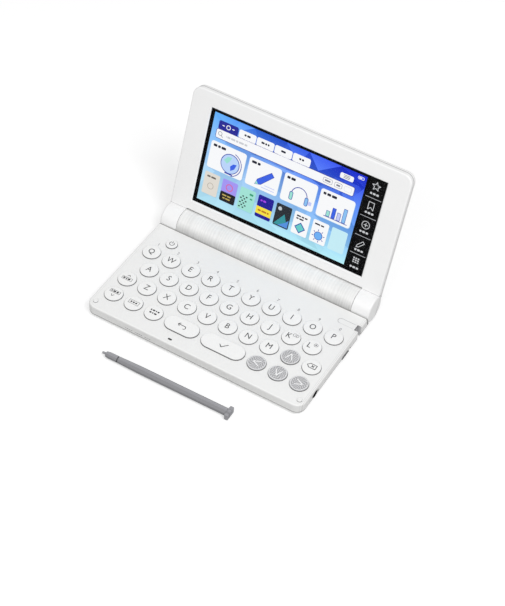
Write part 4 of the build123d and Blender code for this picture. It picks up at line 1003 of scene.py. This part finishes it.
def turned_along_x(y, z, rings):
    """Points and faces of a form turned along X, through (x, radius) rings."""
    steps = 40
    points, faces = [], []
    for x, r in rings:
        for i in range(steps):
            a = 2 * math.pi * i / steps
            points.append(Vector((x, y + r * math.cos(a), z + r * math.sin(a))) * MM)
    for k in range(len(rings) - 1):
        for i in range(steps):
            a, b = k * steps + i, k * steps + (i + 1) % steps
            faces.append((a, b, b + steps, a + steps))
    return points, faces


points, faces = turned_along_x(JACK_Y, JACK_Z, JACK_RING)
mesh = bpy.data.meshes.new("jack_ring")
mesh.from_pydata(points, [], faces)
finish_piece("jack_ring", mesh, socket_black, "base")


def in_port(a, b, wall):
    """Place on a wall of the stylus port, or on the foot of the charging socket's recess.

    On the walls a is the share of the height. On the side walls b is the share of the depth
    from the inside out, and on the inner wall it is the place along Y."""
    if wall == RECESS_FOOT:
        return Vector((a, b, RECESS_FOOT_Z)) * MM
    z = PORT_FOOT + (PORT_TOP - PORT_FOOT) * a
    if wall == INNER_WALL:
        return Vector((PORT_INNER_X - 0.01, b, z)) * MM
    y = PORT_REAR if wall == REAR_WALL else PORT_FRONT
    return Vector((PORT_INNER_X + PORT_DEPTH * b, y, z)) * MM


pale, mid, dark = (216, 216, 217), (150, 150, 153), (96, 96, 99)
port = Art(mid)
port.shaded([(0, PORT_FRONT), (0, PORT_REAR), (1, PORT_REAR), (1, PORT_FRONT)],
            (pale, pale, mid, dark), level=INNER_WALL)
port.shaded(UNIT_SQUARE, (pale, pale, (188, 188, 190), mid), level=REAR_WALL)
port.shape(UNIT_SQUARE, level=FRONT_WALL)
port.box(74.24, 74.96, -0.3, 8.6, tint=(124, 124, 127), level=RECESS_FOOT)
port.build("port_shade", in_port, "base", "socket_black")


# ------------------------------------------------------------------ floor, lamps, world
FLOOR_HALF = 4
FLOOR_Z = -0.0002
FLOOR_LIFT = 0.47           # what the camera sees added to the lit floor, so that it is white
AMBIENT = 0.53


def floor_material():
    material, tree, shader = new_material("floor")
    tree.nodes.remove(shader)
    diffuse = add(tree, "ShaderNodeBsdfDiffuse", Color=(0.62, 0.62, 0.62, 1)).outputs[0]
    lift, none = (add(tree, "ShaderNodeEmission", Color=(tone, tone, tone, 1), Strength=strength)
                  .outputs[0] for tone, strength in ((1, FLOOR_LIFT), (0, 0.0)))
    ray = add(tree, "ShaderNodeLightPath").outputs
    seen = join(tree, "ShaderNodeMixShader", ray["Is Camera Ray"], none, lift)[0]
    total = join(tree, "ShaderNodeAddShader", diffuse, seen)[0]
    feed(tree, tree.nodes["Material Output"].inputs["Surface"], total)
    return material


floor_mesh = bpy.data.meshes.new("floor")
floor_mesh.from_pydata([(x * FLOOR_HALF, y * FLOOR_HALF, FLOOR_Z) for x, y in
                        ((-1, -1), (1, -1), (1, 1), (-1, 1))], [], [(0, 1, 2, 3)])
floor = bpy.data.objects.new("floor", floor_mesh)
bpy.context.collection.objects.link(floor)
floor_mesh.materials.append(floor_material())


def lamp(name, place, size, power):
    """Round lamp that faces the part."""
    data = bpy.data.lights.new(name, "AREA")
    data.shape = "DISK"
    data.size = size
    data.energy = power
    holder = bpy.data.objects.new(name, data)
    bpy.context.collection.objects.link(holder)
    holder.location = place
    holder.rotation_mode = "QUATERNION"
    aim = Vector((0, 0, 0.03)) - Vector(place)
    holder.rotation_quaternion = aim.to_track_quat("-Z", "Y")


lamp("key_lamp", (0.75, -0.35, 1.25), 0.7, 9.3)
lamp("front_lamp", (-0.1, -1.2, 1.1), 0.8, 5.2)

world = bpy.data.worlds.new("world")
bpy.context.scene.world = world
world.use_nodes = True
tree = world.node_tree
ambient = tree.nodes["Background"]
set_inputs(tree, ambient, Color=(1, 1, 1, 1), Strength=AMBIENT)
shown = add(tree, "ShaderNodeBackground", Color=(1, 1, 1, 1), Strength=1.0).outputs[0]
ray = add(tree, "ShaderNodeLightPath").outputs
reflected = maths(tree, "MAXIMUM", ray["Is Camera Ray"], ray["Is Glossy Ray"])
visible = maths(tree, "MAXIMUM", reflected, ray["Is Transmission Ray"])
total = join(tree, "ShaderNodeMixShader", visible, ambient.outputs[0], shown)[0]
feed(tree, tree.nodes["World Output"].inputs["Surface"], total)

bpy.context.scene.view_settings.view_transform = "Standard"
